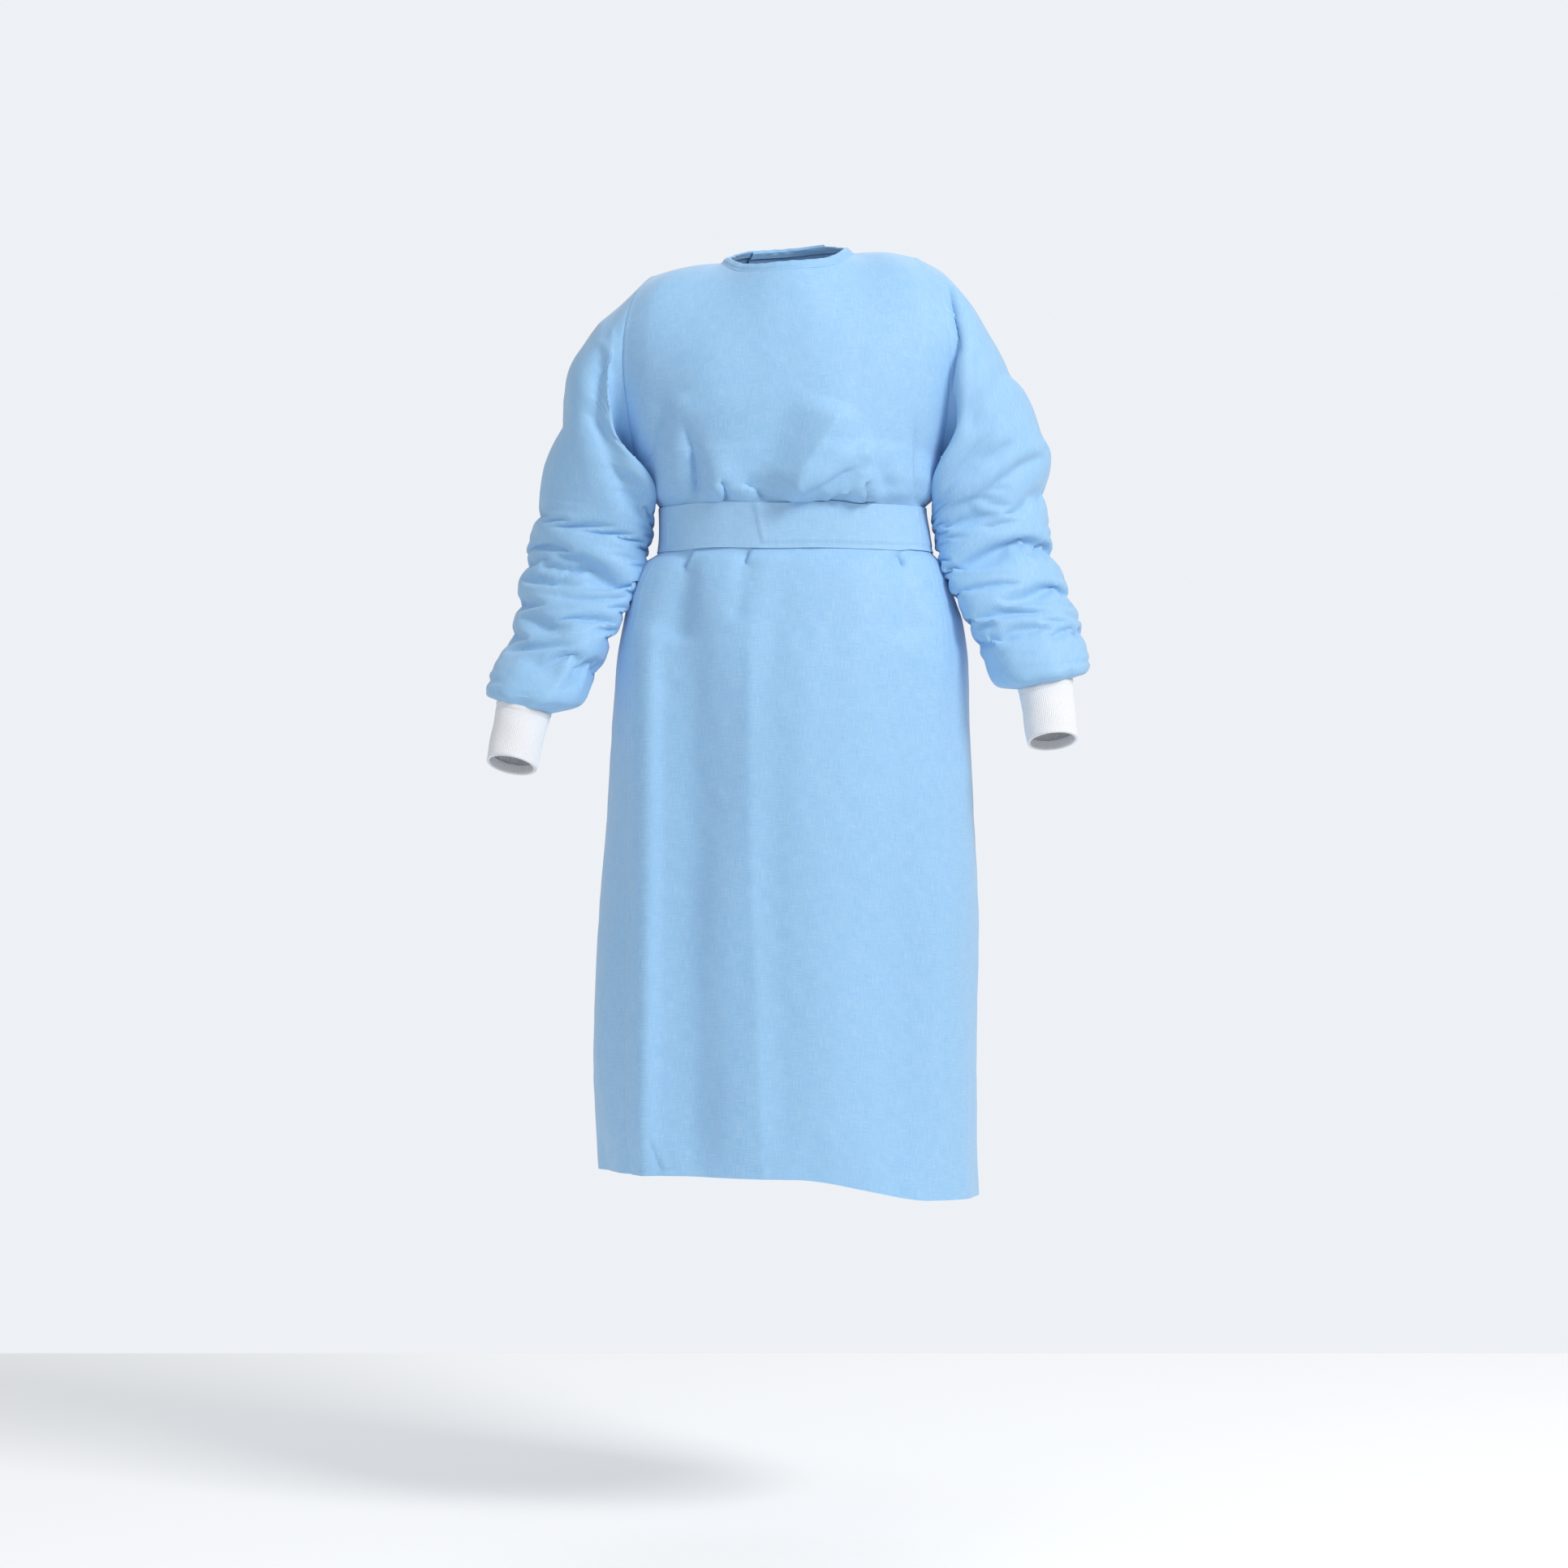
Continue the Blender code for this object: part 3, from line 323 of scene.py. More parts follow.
CREASE_WIDTH, CREASE_ROUNDING, PUFF_SKEW = 0.026, 1.5, 0.8
INNER_RELIEF, INNER_START, INNER_SPREAD = 0.35, 0.3, 0.5
SEAM_FADE, CUFF_FADE = 0.10, 0.03
CUFF_GATHERS, CUFF_GATHER_HEIGHT, CUFF_GATHER_START, CUFF_GATHER_FADE = 10, 0.0042, 0.88, 0.09
GATHER_UNEVEN, GATHER_SHIFT = 1.3, 0.9          # radians by which the gathers are spaced and turned unevenly
CUFF_ENDS = {-1: (-0.3185, -0.113, -0.5965), 1: (0.3010, -0.105, -0.5690)}
CUFF_HALF_WIDTH, CUFF_HALF_DEPTH = 0.0285, 0.0275
Fold = namedtuple("Fold", "x0 z0 x1 z1 width height")
FRONT_FOLDS = rows_of(Fold, "mmmmmm",
    (22, -178, -50, -285, 28, -8), (88, -205, 30, -282, 22, 5), (-116, -215, -112, -290, 14, -8),
    (-85, -225, -80, -285, 16, 5), (-126, -150, -166, -262, 20, -6.5), (80, -232, 112, -285, 13, -7),
    (147, -180, 147, -290, 12, -4.5), (-110, -60, -85, -200, 40, 4), (-166, -450, -163, -1090, 18, 9),
    (-118, -420, -112, -1090, 30, -10), (15, -480, 45, -1090, 60, 8), (125, -430, 120, -1090, 30, -6),
    (-118, -354, -132, -450, 16, -8), (125, -354, 138, -450, 16, -7), (-48, -354, -60, -430, 14, -4))
BACK_FOLDS = rows_of(Fold, "mmmmmm",
    (-100, -160, -60, -288, 20, -8.5), (110, -170, 70, -288, 20, -8.5), (-30, -120, -20, -285, 30, 6),
    (-110, -380, -128, -1095, 28, -10), (118, -380, 125, -1095, 28, -10), (-165, -420, -175, -1095, 22, 8),
    (165, -420, 180, -1095, 22, 8))
FOLD_WEIGHT_SLOPE, FOLD_TAPER, SOFT_TAPER = 2.5, 0.25, 0.6
print(len(BODY), "body sections,", len(SLEEVE_RINGS[1]), "rings a sleeve")

# %% Tools for nets and tables
FINER = 6                       # points per column of the solids
ARM_ROWS = 11 * FINER
SKIRT_ROWS = 250
SLEEVE_ROWS = 190


def smooth(value):
    """0 below 0, 1 above 1, and an S curve between."""
    value = np.clip(value, 0.0, 1.0)
    return value * value * (3.0 - 2.0 * value)


def bell(distance, width):
    """1 at no distance, falling off to 0 like a bell over about twice the width."""
    return np.exp(-(distance / width) ** 2)


def raised(net, out, height):
    """A net's points moved out along its normals."""
    return net + out * height[..., None]


def unit(vectors):
    """Vectors at length one."""
    return vectors / np.maximum(np.linalg.norm(vectors, axis=-1, keepdims=True), 1e-12)


def walked(net, axis):
    """The distance walked over a net to each point, along its columns (0) or its rows (1)."""
    steps = np.linalg.norm(np.diff(net, axis=axis), axis=-1)
    return np.insert(np.cumsum(steps, axis=axis), 0, 0.0, axis=axis)


def quads_of(rows, width, spans):
    """The corner numbers of a net's faces, and the row and column of each one's first corner."""
    r, k = (part.ravel() for part in np.meshgrid(np.arange(rows - 1), np.arange(spans), indexing="ij"))
    f = (k + 1) % width
    return np.stack([r * width + k, r * width + f, (r + 1) * width + f, (r + 1) * width + k], -1), r, k


def read(rows, at):
    """The columns of a table at any places of its first one, on a curve that never overshoots."""
    table = np.array(rows, float)
    places, values = table[:, 0], table[:, 1:]
    at = np.clip(np.asarray(at, float), places[0], places[-1])
    steps = np.diff(places)[:, None]
    rises = np.diff(values, axis=0) / steps
    products, totals = rises[:-1] * rises[1:], rises[:-1] + rises[1:]
    inner = np.where(products > 0.0, 2.0 * products / np.where(products > 0.0, totals, 1.0), 0.0)
    slopes = np.concatenate([rises[:1], inner, rises[-1:]])
    index = np.clip(np.searchsorted(places, at, side="right") - 1, 0, len(places) - 2)
    part = ((at - places[index]) / steps[index, 0])[..., None]
    reach = steps[index, 0][..., None]
    result = ((2 * part ** 3 - 3 * part ** 2 + 1) * values[index]
              + (part ** 3 - 2 * part ** 2 + part) * slopes[index] * reach
              + (3 * part ** 2 - 2 * part ** 3) * values[index + 1]
              + (part ** 3 - part ** 2) * slopes[index + 1] * reach)
    return np.moveaxis(result, -1, 0)


def points(x, y, z):
    """An array of points from arrays of coordinates."""
    return np.stack(np.broadcast_arrays(x, y, z), -1).astype(float)


# %% Surfaces of the body
def body_point(z, angle):
    """Points of the section at height z; angle in degrees from the front centre, + to +X."""
    left, right, front, back = read([row[:5] for row in BODY], z)
    side, face = np.sin(np.radians(angle)), np.cos(np.radians(angle))
    reach = (np.abs(side) ** SQUARENESS + np.abs(face) ** SQUARENESS) ** (-1.0 / SQUARENESS)
    return points(np.where(side > 0, right, left) * reach * side,
                  -np.where(face > 0, front, back) * reach * face, z)


def skirt_point(z, angle):
    """Points below the underarm, with the lowest rows bent to the hem's height."""
    found = body_point(z, angle)
    share = smooth((HEM_FADE_TOP - z) / (HEM_FADE_TOP - BODY[0].z))
    hem = read(HEM, (angle + 180.0) % 360.0 - 180.0)[0]
    found[..., 2] += share * (hem - BODY[0].z)
    return found


def column_angle(z, half, face, column):
    """Angle of a panel's column. half: -1 the picture's left, 1 right. face: -1 front, 1 back."""
    seams = read([(row.z, row.seam_left, row.seam_right) for row in BODY], z)
    seam = 90.0 - seams[0 if half < 0 else 1]
    return half * (seam + ((0.0 if face < 0 else 180.0) - seam) * column / HALF_COLUMNS)


def neck_point(neck, angle):
    """Points of a neckline at angles from the front centre."""
    side, face = np.sin(np.radians(angle)), np.cos(np.radians(angle))
    middle = np.where(face > 0, neck.z_front, neck.z_back)
    height = neck.z_side + neck.tilt * side + (middle - neck.z_side) * smooth(np.abs(face))
    return points(neck.centre + neck.half_width * side,
                  -np.where(face > 0, neck.front, neck.back) * face, height)


def neck_angle(half, face, column):
    """Angle on the neckline where a column ends."""
    return half * (90.0 + face * 90.0 * (column - SHOULDER_COLUMNS) / HALF_NECK_COLUMNS)


def top_point(half, face, column):
    """Where columns end: on the shoulder seam or on the neckline."""
    part = np.clip(column / SHOULDER_COLUMNS, 0.0, 1.0)[..., None]
    tip = np.array(SHOULDER_TIPS[half])
    seam = tip + (neck_point(NECK_EDGE, np.array(90.0 * half)) - tip) * part
    seam[..., 2] += SHOULDER_SWELL * np.sin(math.pi * part[..., 0])
    on_neck = neck_point(NECK_EDGE, neck_angle(half, face, np.maximum(column, SHOULDER_COLUMNS)))
    return np.where((column > SHOULDER_COLUMNS)[..., None], on_neck, seam)


def upper_point(half, face, column, part):
    """Points above the underarm: part 0 is the underarm's level, 1 the shoulder or neckline."""
    low = body_point(np.full(np.shape(column), UNDERARM_Z),
                     column_angle(np.full(np.shape(column), UNDERARM_Z), half, face, column))
    top = top_point(half, face, column)
    bulges = CHEST if face < 0 else SHOULDER_BLADES
    depth, height = read(bulges, np.minimum(column, 2 * HALF_COLUMNS - column))
    control = points(ARMHOLE_SPREAD * (low[..., 0] + top[..., 0]) / 2.0, face * depth, height)
    part = part[..., None]
    return low * (1 - part) ** 2 + control * 2 * part * (1 - part) + top * part ** 2


def panel(half, face, columns):
    """A net of points for some columns of a body panel, from the hem up."""
    z = np.linspace(BODY[0].z, UNDERARM_Z, SKIRT_ROWS + 1)[:, None] + 0.0 * columns
    part = (np.arange(1, ARM_ROWS + 1) / ARM_ROWS)[:, None] + 0.0 * columns
    wide = columns[None, :] + 0.0 * part
    lower = skirt_point(z, column_angle(z, half, face, columns[None, :] + 0.0 * z))
    return np.concatenate([lower, upper_point(half, face, wide, part)])


NECK_EASE_ROUNDS, NECK_EASE_START, NECK_EASE_SPREAD, NECK_EASE_EDGE = 150, 0.30, 4.0, 2.0


def eased(net):
    """A panel whose neck corner fades out below its edge, by smoothing along the upper rows."""
    part = (np.arange(1, ARM_ROWS + 1) / ARM_ROWS)[:, None, None]
    columns = np.arange(net.shape[1]) / FINER
    if net.shape[1] > 2 * HALF_COLUMNS * FINER:         # the front, which is counted in from both sides
        columns = np.minimum(columns, 2 * HALF_COLUMNS - columns)
    near = smooth((NECK_EASE_SPREAD - np.abs(columns - SHOULDER_COLUMNS)) / NECK_EASE_EDGE)[None, 1:-1, None]
    share = 0.5 * near * smooth((1.0 - part) / NECK_EASE_START)
    upper = net[-ARM_ROWS:]
    for _ in range(NECK_EASE_ROUNDS):
        upper[:, 1:-1] += share * ((upper[:, :-2] + upper[:, 2:]) / 2.0 - upper[:, 1:-1])
    return net


half_columns = np.arange(HALF_COLUMNS * FINER + 1) / FINER
front_net = np.concatenate([panel(-1, -1, half_columns), panel(1, -1, half_columns[:-1])[:, ::-1]], axis=1)
front_net = eased(front_net)
back_columns = np.arange((HALF_COLUMNS + LAP_COLUMNS) * FINER + 1) / FINER
back_nets = {half: eased(panel(half, 1, back_columns)) for half in (-1, 1)}
print("front net", front_net.shape, "back nets", back_nets[1].shape)

# %% Surfaces of the sleeves
ring_turns = 180.0 * np.arange(2 * ARM_ROWS) / ARM_ROWS     # 0 inner side, 180 outer, through the front


def armhole(front, back, half):
    """The armhole's seam points: from the underarm over the front to the shoulder, and back."""
    edge = front[SKIRT_ROWS:, 0 if half < 0 else -1]
    return np.concatenate([edge, back[half][SKIRT_ROWS + 1:-1, 0][::-1]])


FACE_EASE = 0.55                # the rings of bunched cloth break up on the sleeve's front and back
Drape = namedtuple("Drape", "turn spread along length inward forward")
DRAPES = (Drape(52.0, 36.0, 0.38, 0.18, 0.036, 0.020), Drape(50.0, 34.0, 0.74, 0.15, 0.034, 0.010))


def sleeve_drape(half, along, turn):
    """How the slack cloth at the front hangs in towards the body below the armhole."""
    shift = np.zeros(np.broadcast(along, turn).shape + (3,))
    for drape in DRAPES:
        weight = np.exp(-((turn - drape.turn) / drape.spread) ** 2
                        - ((along - drape.along) / drape.length) ** 2)
        shift += weight[..., None] * np.array((-half * drape.inward, -drape.forward, 0.0))
    return shift


def sleeve_relief(half, along, turn):
    """Height of the bunched cloth over the plain ring, with the gathers at the cuff."""
    side, face = np.cos(np.radians(turn)), np.sin(np.radians(turn))
    places = []
    for bunch in SLEEVE_BUNCHES[half]:
        middle = (bunch.inner + bunch.outer) / 2.0
        ends = np.where(face > 0, bunch.front, bunch.back)
        dip = np.abs(face) ** CREASE_ROUNDING * (ends - middle)
        places.append(middle + side * (bunch.inner - bunch.outer) / 2.0 + dip)
    places.append(np.ones_like(places[0]))
    height = np.zeros(np.broadcast(along, turn).shape)
    for number, bunch in enumerate(SLEEVE_BUNCHES[half]):
        part = np.clip((along - places[number]) / (places[number + 1] - places[number]), 0.0, 1.0)
        height += bunch.puff * np.sin(math.pi * part ** PUFF_SKEW)
        height -= bunch.depth * bell(along - places[number], CREASE_WIDTH)
    gather = smooth((along - CUFF_GATHER_START) / CUFF_GATHER_FADE)
    spread = np.radians(turn * CUFF_GATHERS) + GATHER_UNEVEN * np.sin(np.radians(2.0 * turn))
    spread = spread + GATHER_SHIFT * half
    height += gather * CUFF_GATHER_HEIGHT * np.cos(spread)
    height *= 1.0 - (1.0 - INNER_RELIEF) * smooth((side - INNER_START) / INNER_SPREAD)
    height *= 1.0 - FACE_EASE * smooth(1.5 * np.abs(face) - 0.3) * smooth((CUFF_GATHER_START - along) / 0.1)
    return height * smooth(along / SEAM_FADE) * smooth((1.0 - along) / CUFF_FADE + 0.25)


def sleeve(half, seam, relief=1.0):
    """The sleeve's net: rings from the armhole seam to the cuff seam."""
    along = (np.arange(SLEEVE_ROWS + 1) / SLEEVE_ROWS)[:, None]
    outer_x, outer_z, inner_x, inner_z, y, half_depth = read(SLEEVE_RINGS[half], along)
    outer, inner = points(outer_x, y, outer_z), points(inner_x, y, inner_z)
    side, face = np.cos(np.radians(ring_turns)), np.sin(np.radians(ring_turns))
    reach = (inner - outer) / 2.0
    across = reach / np.linalg.norm(reach, axis=-1, keepdims=True)
    forward = np.array((0.0, -1.0, 0.0))
    plain = (inner + outer) / 2.0 + reach * side[:, None] + forward * (half_depth * face)[..., None]
    outward = across * side[:, None] + forward * face[:, None]
    plain = raised(plain, outward, relief * sleeve_relief(half, along, ring_turns))
    plain = plain + sleeve_drape(half, along, ring_turns)
    share = ((1.0 + side) / 2.0)[:, None]
    carried = seam + (outer - outer[0]) * (1.0 - share) + (inner - inner[0]) * share
    blend = smooth(along / ARMHOLE_BLEND)[..., None]
    return carried * (1.0 - blend) + plain * blend


sleeve_nets = {half: sleeve(half, armhole(front_net, back_nets, half)) for half in (-1, 1)}
print("sleeve net", sleeve_nets[1].shape)

# %% Normals that agree along every seam
KEY_SIZE = 1.0e-5


def own_normals(net, closed, way):
    """Sum of the unit face normals round each point of a net."""
    ring = np.concatenate([net, net[:, :1]], axis=1) if closed else net
    faces = np.cross(ring[1:, 1:] - ring[:-1, :-1], ring[1:, :-1] - ring[:-1, 1:])
    faces *= way / np.maximum(np.linalg.norm(faces, axis=-1, keepdims=True), 1e-12)
    total = np.zeros_like(ring)
    for rows, columns in ((slice(0, -1), slice(0, -1)), (slice(1, None), slice(0, -1)),
                          (slice(0, -1), slice(1, None)), (slice(1, None), slice(1, None))):
        total[rows, columns] += faces
    if closed:
        total[:, 0] += total[:, -1]
        total = total[:, :-1]
    return total


def welded_normals(nets):
    """Unit normals of several nets (net, closed, way), shared where their points coincide."""
    sums = [own_normals(*entry).reshape(-1, 3) for entry in nets]
    keys = np.round(np.concatenate([entry[0].reshape(-1, 3) for entry in nets]) / KEY_SIZE).astype(np.int64)
    _, index = np.unique(keys, axis=0, return_inverse=True)
    index = index.ravel()
    total = np.zeros((index.max() + 1, 3))
    np.add.at(total, index, np.concatenate(sums))
    total /= np.maximum(np.linalg.norm(total, axis=1, keepdims=True), 1e-12)
    found, start = [], 0
    for net, _, _ in nets:
        size = net.shape[0] * net.shape[1]
        found.append(total[index[start:start + size]].reshape(net.shape))
        start += size
    return found


def gown_normals(front, backs, sleeves):
    """Normals of the body and both sleeves: front, {half: back}, {half: sleeve}."""
    found = welded_normals([(front, False, 1.0), (backs[-1], False, -1.0), (backs[1], False, 1.0),
                            (sleeves[-1], True, 1.0), (sleeves[1], True, -1.0)])
    return found[0], {-1: found[1], 1: found[2]}, {-1: found[3], 1: found[4]}


front_out, back_outs, sleeve_outs = gown_normals(front_net, back_nets, sleeve_nets)
print("front normal at the middle", front_out[SKIRT_ROWS // 2, front_out.shape[1] // 2].round(2))

# %% [markdown]
# ## Folds of the body
# Broad folds come first, as ridges and troughs along lines seen from the front. All but two of
# them, at the chest, are the solids' own. The sharper creases are lines too: the cloth dives into
# the line, steeply from one side, and swells on the other, where it hangs over.

# %% Fold tools
BELT_EDGE = 0.004


def near_line(x, z, line):
    """Distance to a line of points, + on its left, the share along it, and the way to its left."""
    best = np.full(x.shape, 1e9)
    signed, along, left_x, left_z = (np.zeros(x.shape) for _ in range(4))
    lengths = [math.dist(a, b) for a, b in zip(line, line[1:])]
    total, before = sum(lengths), 0.0
    for (x0, z0), (x1, z1), length in zip(line, line[1:], lengths):
        dx, dz = (x1 - x0) / length, (z1 - z0) / length
        place = np.clip((x - x0) * dx + (z - z0) * dz, 0.0, length)
        away_x, away_z = x - x0 - dx * place, z - z0 - dz * place
        distance = np.hypot(away_x, away_z)
        closer = distance < best
        best = np.where(closer, distance, best)
        signed = np.where(closer, np.where(dx * away_z - dz * away_x >= 0, distance, -distance), signed)
        along = np.where(closer, (before + place) / total, along)
        left_x, left_z = np.where(closer, -dz, left_x), np.where(closer, dx, left_z)
        before += length
    return signed, along, left_x, left_z


def off_belt(z):
    """0 under the belt, where the cloth is pressed flat, and 1 just beyond its edges."""
    return 1.0 - smooth((z - BELT_BOTTOM) / BELT_EDGE + 1.0) * smooth((BELT_TOP - z) / BELT_EDGE + 1.0)


def broad_folds(net, out, folds, face):
    """Heights of the broad folds on one face of the body."""
    x, z = net[..., 0], net[..., 2]
    height = np.zeros(x.shape)
    for fold in folds:
        run = np.array((fold.x1 - fold.x0, fold.z1 - fold.z0))
        part = ((x - fold.x0) * run[0] + (z - fold.z0) * run[1]) / (run @ run)
        clamped = np.clip(part, 0.0, 1.0)
        distance = np.hypot(x - fold.x0 - run[0] * clamped, z - fold.z0 - run[1] * clamped)
        free_end = fold.z0 > BELT_TOP           # above the belt a fold starts from nothing
        taper = smooth(part / SOFT_TAPER if free_end else part / FOLD_TAPER + 0.5)
        height += fold.height * (taper * smooth((1.0 - part) / FOLD_TAPER + 0.5)) * bell(distance, fold.width)
    return height * smooth(face * out[..., 1] * FOLD_WEIGHT_SLOPE) * off_belt(z)


def raise_folds(net, out):
    """A net with its broad folds raised along its normals."""
    return raised(net, out, broad_folds(net, out, FRONT_FOLDS, -1.0) + broad_folds(net, out, BACK_FOLDS, 1.0))


front_net = raise_folds(front_net, front_out)
back_nets = {half: raise_folds(back_nets[half], back_outs[half]) for half in (-1, 1)}
for half in (-1, 1):
    sleeve_nets[half][0] = armhole(front_net, back_nets, half)
front_out, back_outs, sleeve_outs = gown_normals(front_net, back_nets, sleeve_nets)
print("broad folds raised")

# %% [markdown]
# ## Sharp creases
# Stiff thin cloth doesn't only wave: where a sleeve is pushed up it buckles into creases with one
# overhanging lip. Each crease is a line seen from the front, drawn from its lower lip side so that
# the overhang lies on its left. The cloth dives steeply under the lip and runs out gently below it.

# %% Crease tables
Crease = namedtuple("Crease", "depth lip width line")
Facet = namedtuple("Facet", "height before after line")


def lines_of(kind, *rows):
    """Rows in millimetres: three settings, then the points of a line as x, z, x, z and so on."""
    metres = [[value / 1000 for value in row] for row in rows]
    return [kind(*row[:3], list(zip(row[3::2], row[4::2]))) for row in metres]


SLEEVE_FRONT = {
    -1: lines_of(Crease,
        (11, 7, 12, -156, -325, -181, -296, -211, -245, -230, -194, -226, -153, -219, -110),
        (11, 8, 11, -308, -321, -289, -335, -257, -350, -234, -360, -210, -381, -183, -394),
        (7, 3, 6, -294, -352, -280, -363, -261, -367, -234, -372),
        (12, 9, 12, -302, -421, -270, -438, -253, -466, -228, -478, -205, -474),
        (4.5, 3, 7, -228, -358, -205, -370, -184, -376),
        (5, 3, 7, -212, -340, -196, -352, -174, -360),
        (3, 2, 6, -287, -307, -266, -326, -232, -312),
        (0.8, 0.4, 3, -272, -198, -232, -196),
        (8, 5, 8, -209, -257, -181, -266, -152, -293),
        (6, 4, 8, -200, -279, -178, -288, -156, -305),
        (7, 5, 7, -322, -380, -290, -376, -262, -384, -240, -400),
        (3, 3, 6, -262, -398, -248, -412, -246, -430),
        (3, 2.5, 7, -286, -438, -283, -464, -290, -490),
        (3.5, 2.5, 7, -236, -500, -243, -486, -240, -470),
        (2.5, 2, 6, -262, -472, -268, -486, -264, -502)),
    1: lines_of(Crease,
        (10, 7, 10, 184, -34, 195, -67, 198, -104, 192, -152, 174, -176),
        (-3, 0, 8, 202, -108, 203, -170, 200, -236),
        (3, 0, 8, 214, -118, 214, -170, 210, -230),
        (-2.8, 0, 8, 228, -127, 229, -165, 225, -203),
        (0.8, 0.4, 3, 236, -188, 270, -198),
        (8.5, 3, 8, 166, -296, 182, -272, 200, -249, 228, -213),
        (5, 3, 6, 226, -245, 244, -227, 262, -222),
        (11, 7, 9, 170, -297, 194, -295, 216, -288, 241, -269, 268, -247, 303, -232),
        (7, 5, 8, 218, -324, 238, -318, 253, -309, 290, -274),
        (5.5, 3, 8, 178, -322, 200, -312, 232, -305),
        (11, 8, 9, 176, -374, 216, -354, 241, -342, 273, -334, 310, -338),
        (5, 3, 7, 252, -340, 247, -356, 230, -366),
        (10, 7, 9, 195, -431, 220, -423, 250, -410, 281, -394, 312, -380),
        (4, 3, 7, 206, -442, 236, -428, 262, -412),
        (4, 3, 7, 210, -457, 234, -454, 256, -446),
        (3.5, 3, 7, 338, -440, 326, -424, 312, -402),
        (4.5, 3, 6, 276, -237, 290, -234, 306, -222),
        (3, 2, 7, 252, -486, 262, -470, 266, -452),
        (3, 2, 6, 296, -470, 300, -454, 310, -440)),
}
SLEEVE_BACK = {
    -1: lines_of(Crease,
        (9, 7, 11, -302, -300, -260, -318, -222, -352, -176, -362),
        (10, 7, 11, -318, -372, -268, -384, -232, -412, -200, -416),
        (8, 6, 10, -322, -432, -284, -448, -250, -440),
        (7, 5, 9, -284, -240, -246, -262, -196, -300),
        (6, 4, 10, -180, -250, -212, -190, -214, -120),
        (4, 3, 7, -250, -340, -272, -356, -300, -352),
        (3.5, 3, 7, -264, -470, -272, -486, -268, -504)),
    1: lines_of(Crease,
        (9, 7, 11, 180, -344, 222, -330, 262, -296, 300, -286),
        (10, 7, 11, 196, -404, 240, -398, 276, -366, 312, -354),
        (8, 6, 10, 216, -450, 262, -438, 306, -414, 330, -412),
        (7, 5, 9, 184, -286, 226, -262, 286, -214),
        (6, 4, 10, 192, -46, 206, -120, 184, -190),
        (4.5, 3, 7, 236, -360, 262, -342, 300, -326),
        (3.5, 3, 7, 270, -486, 276, -470, 272, -452)),
}
BODY_FRONT = lines_of(Crease,
    (3, 1.5, 7, 0, -296, 36, -278, 62, -262, 82, -258),
    (6, 2.5, 8, -110, -297, -111, -268, -114, -242, -124, -205),
    (5.5, 3, 5, -75, -297, -76, -286, -79, -274),
    (5.5, 3, 5, 88, -297, 87, -286, 85, -274),
    (3.5, 2.5, 9, -168, -252, -155, -214, -142, -184),
    (3, 1, 3, 143, -297, 143, -250, 142, -204),
    (4, 2, 6, -30, -298, -40, -284, -56, -276),
    (3.5, 2, 6, 40, -298, 52, -290, 70, -288),
    (4, 2, 5, -112, -352, -114, -360, -120, -372),
    (4.5, 2, 6, -46, -352, -47, -358, -50, -368),
    (4, 2, 6, 124, -352, 127, -359, 132, -370),
    (1.2, 0.8, 3, -161, -1020, -152, -1042, -142, -1062))
BODY_BACK = lines_of(Crease,
    (6, 4, 9, -120, -297, -108, -256, -112, -200),
    (6, 4, 9, 112, -190, 100, -246, 108, -297),
    (5.5, 3, 8, -52, -297, -66, -262, -52, -226),
    (5.5, 3, 8, 50, -236, 62, -266, 46, -297),
    (4.5, 2.5, 6, -88, -352, -92, -372, -98, -398),
    (4.5, 2.5, 6, 80, -352, 86, -372, 90, -404),
    (4, 2.5, 6, -30, -297, -34, -284, -30, -268),
    (3, 1, 4, -156, -430, -166, -700, -170, -960))
FRONT_FACETS = lines_of(Facet,
    (19, 60, 34, 60, -186, 40, -231, 17, -267, -2, -296),
    (12, 45, 22, 81, -230, 88, -252, 90, -296),
    (6, 30, 40, -118, -170, -140, -210, -166, -260),
    (5, 40, 16, -158, -400, -160, -700, -166, -1090),
    (6, 60, 30, -46, -400, -44, -700, -30, -1090))
BACK_FACETS = lines_of(Facet,
    (9, 50, 25, -60, -180, -75, -230, -90, -296),
    (9, 25, 50, 72, -170, 80, -230, 96, -296))
CREASE_ENDS = 0.22              # part of a crease's length over which it runs out
print("creases:", sum(len(rows) for table in (SLEEVE_FRONT, SLEEVE_BACK) for rows in table.values())
      + len(BODY_FRONT) + len(BODY_BACK))

# %% Pressing the creases in
LIP_SHARE, SLIDE_SHARE, SLIDE_PLACE = 0.45, 0.35, 0.7      # shares of a crease's width
FOOT_SWELL, CREASE_START, CREASE_POWER = 0.35, 0.12, 1.5
SLEEVE_GAIN = 1.3                                   # the sleeves' creases are this much deeper than drawn
FACING_SLOPE, SLEEVE_REACH, BODY_REACH = 1.2, 0.5, 0.3      # how far creases run round to the sides
CREST, FACET_POWER, FACET_ENDS, FACET_START = 0.0025, 1.7, 0.25, 0.25
FACET_AT_BELT, FACET_AT_HEM = 0.2, 0.8              # what is left of a facet where its line ends


def facing(out, face, reach):
    """1 where the cloth looks to one face, -1 the front or 1 the back, and less towards the sides."""
    return smooth(reach + FACING_SLOPE * face * out[..., 1])


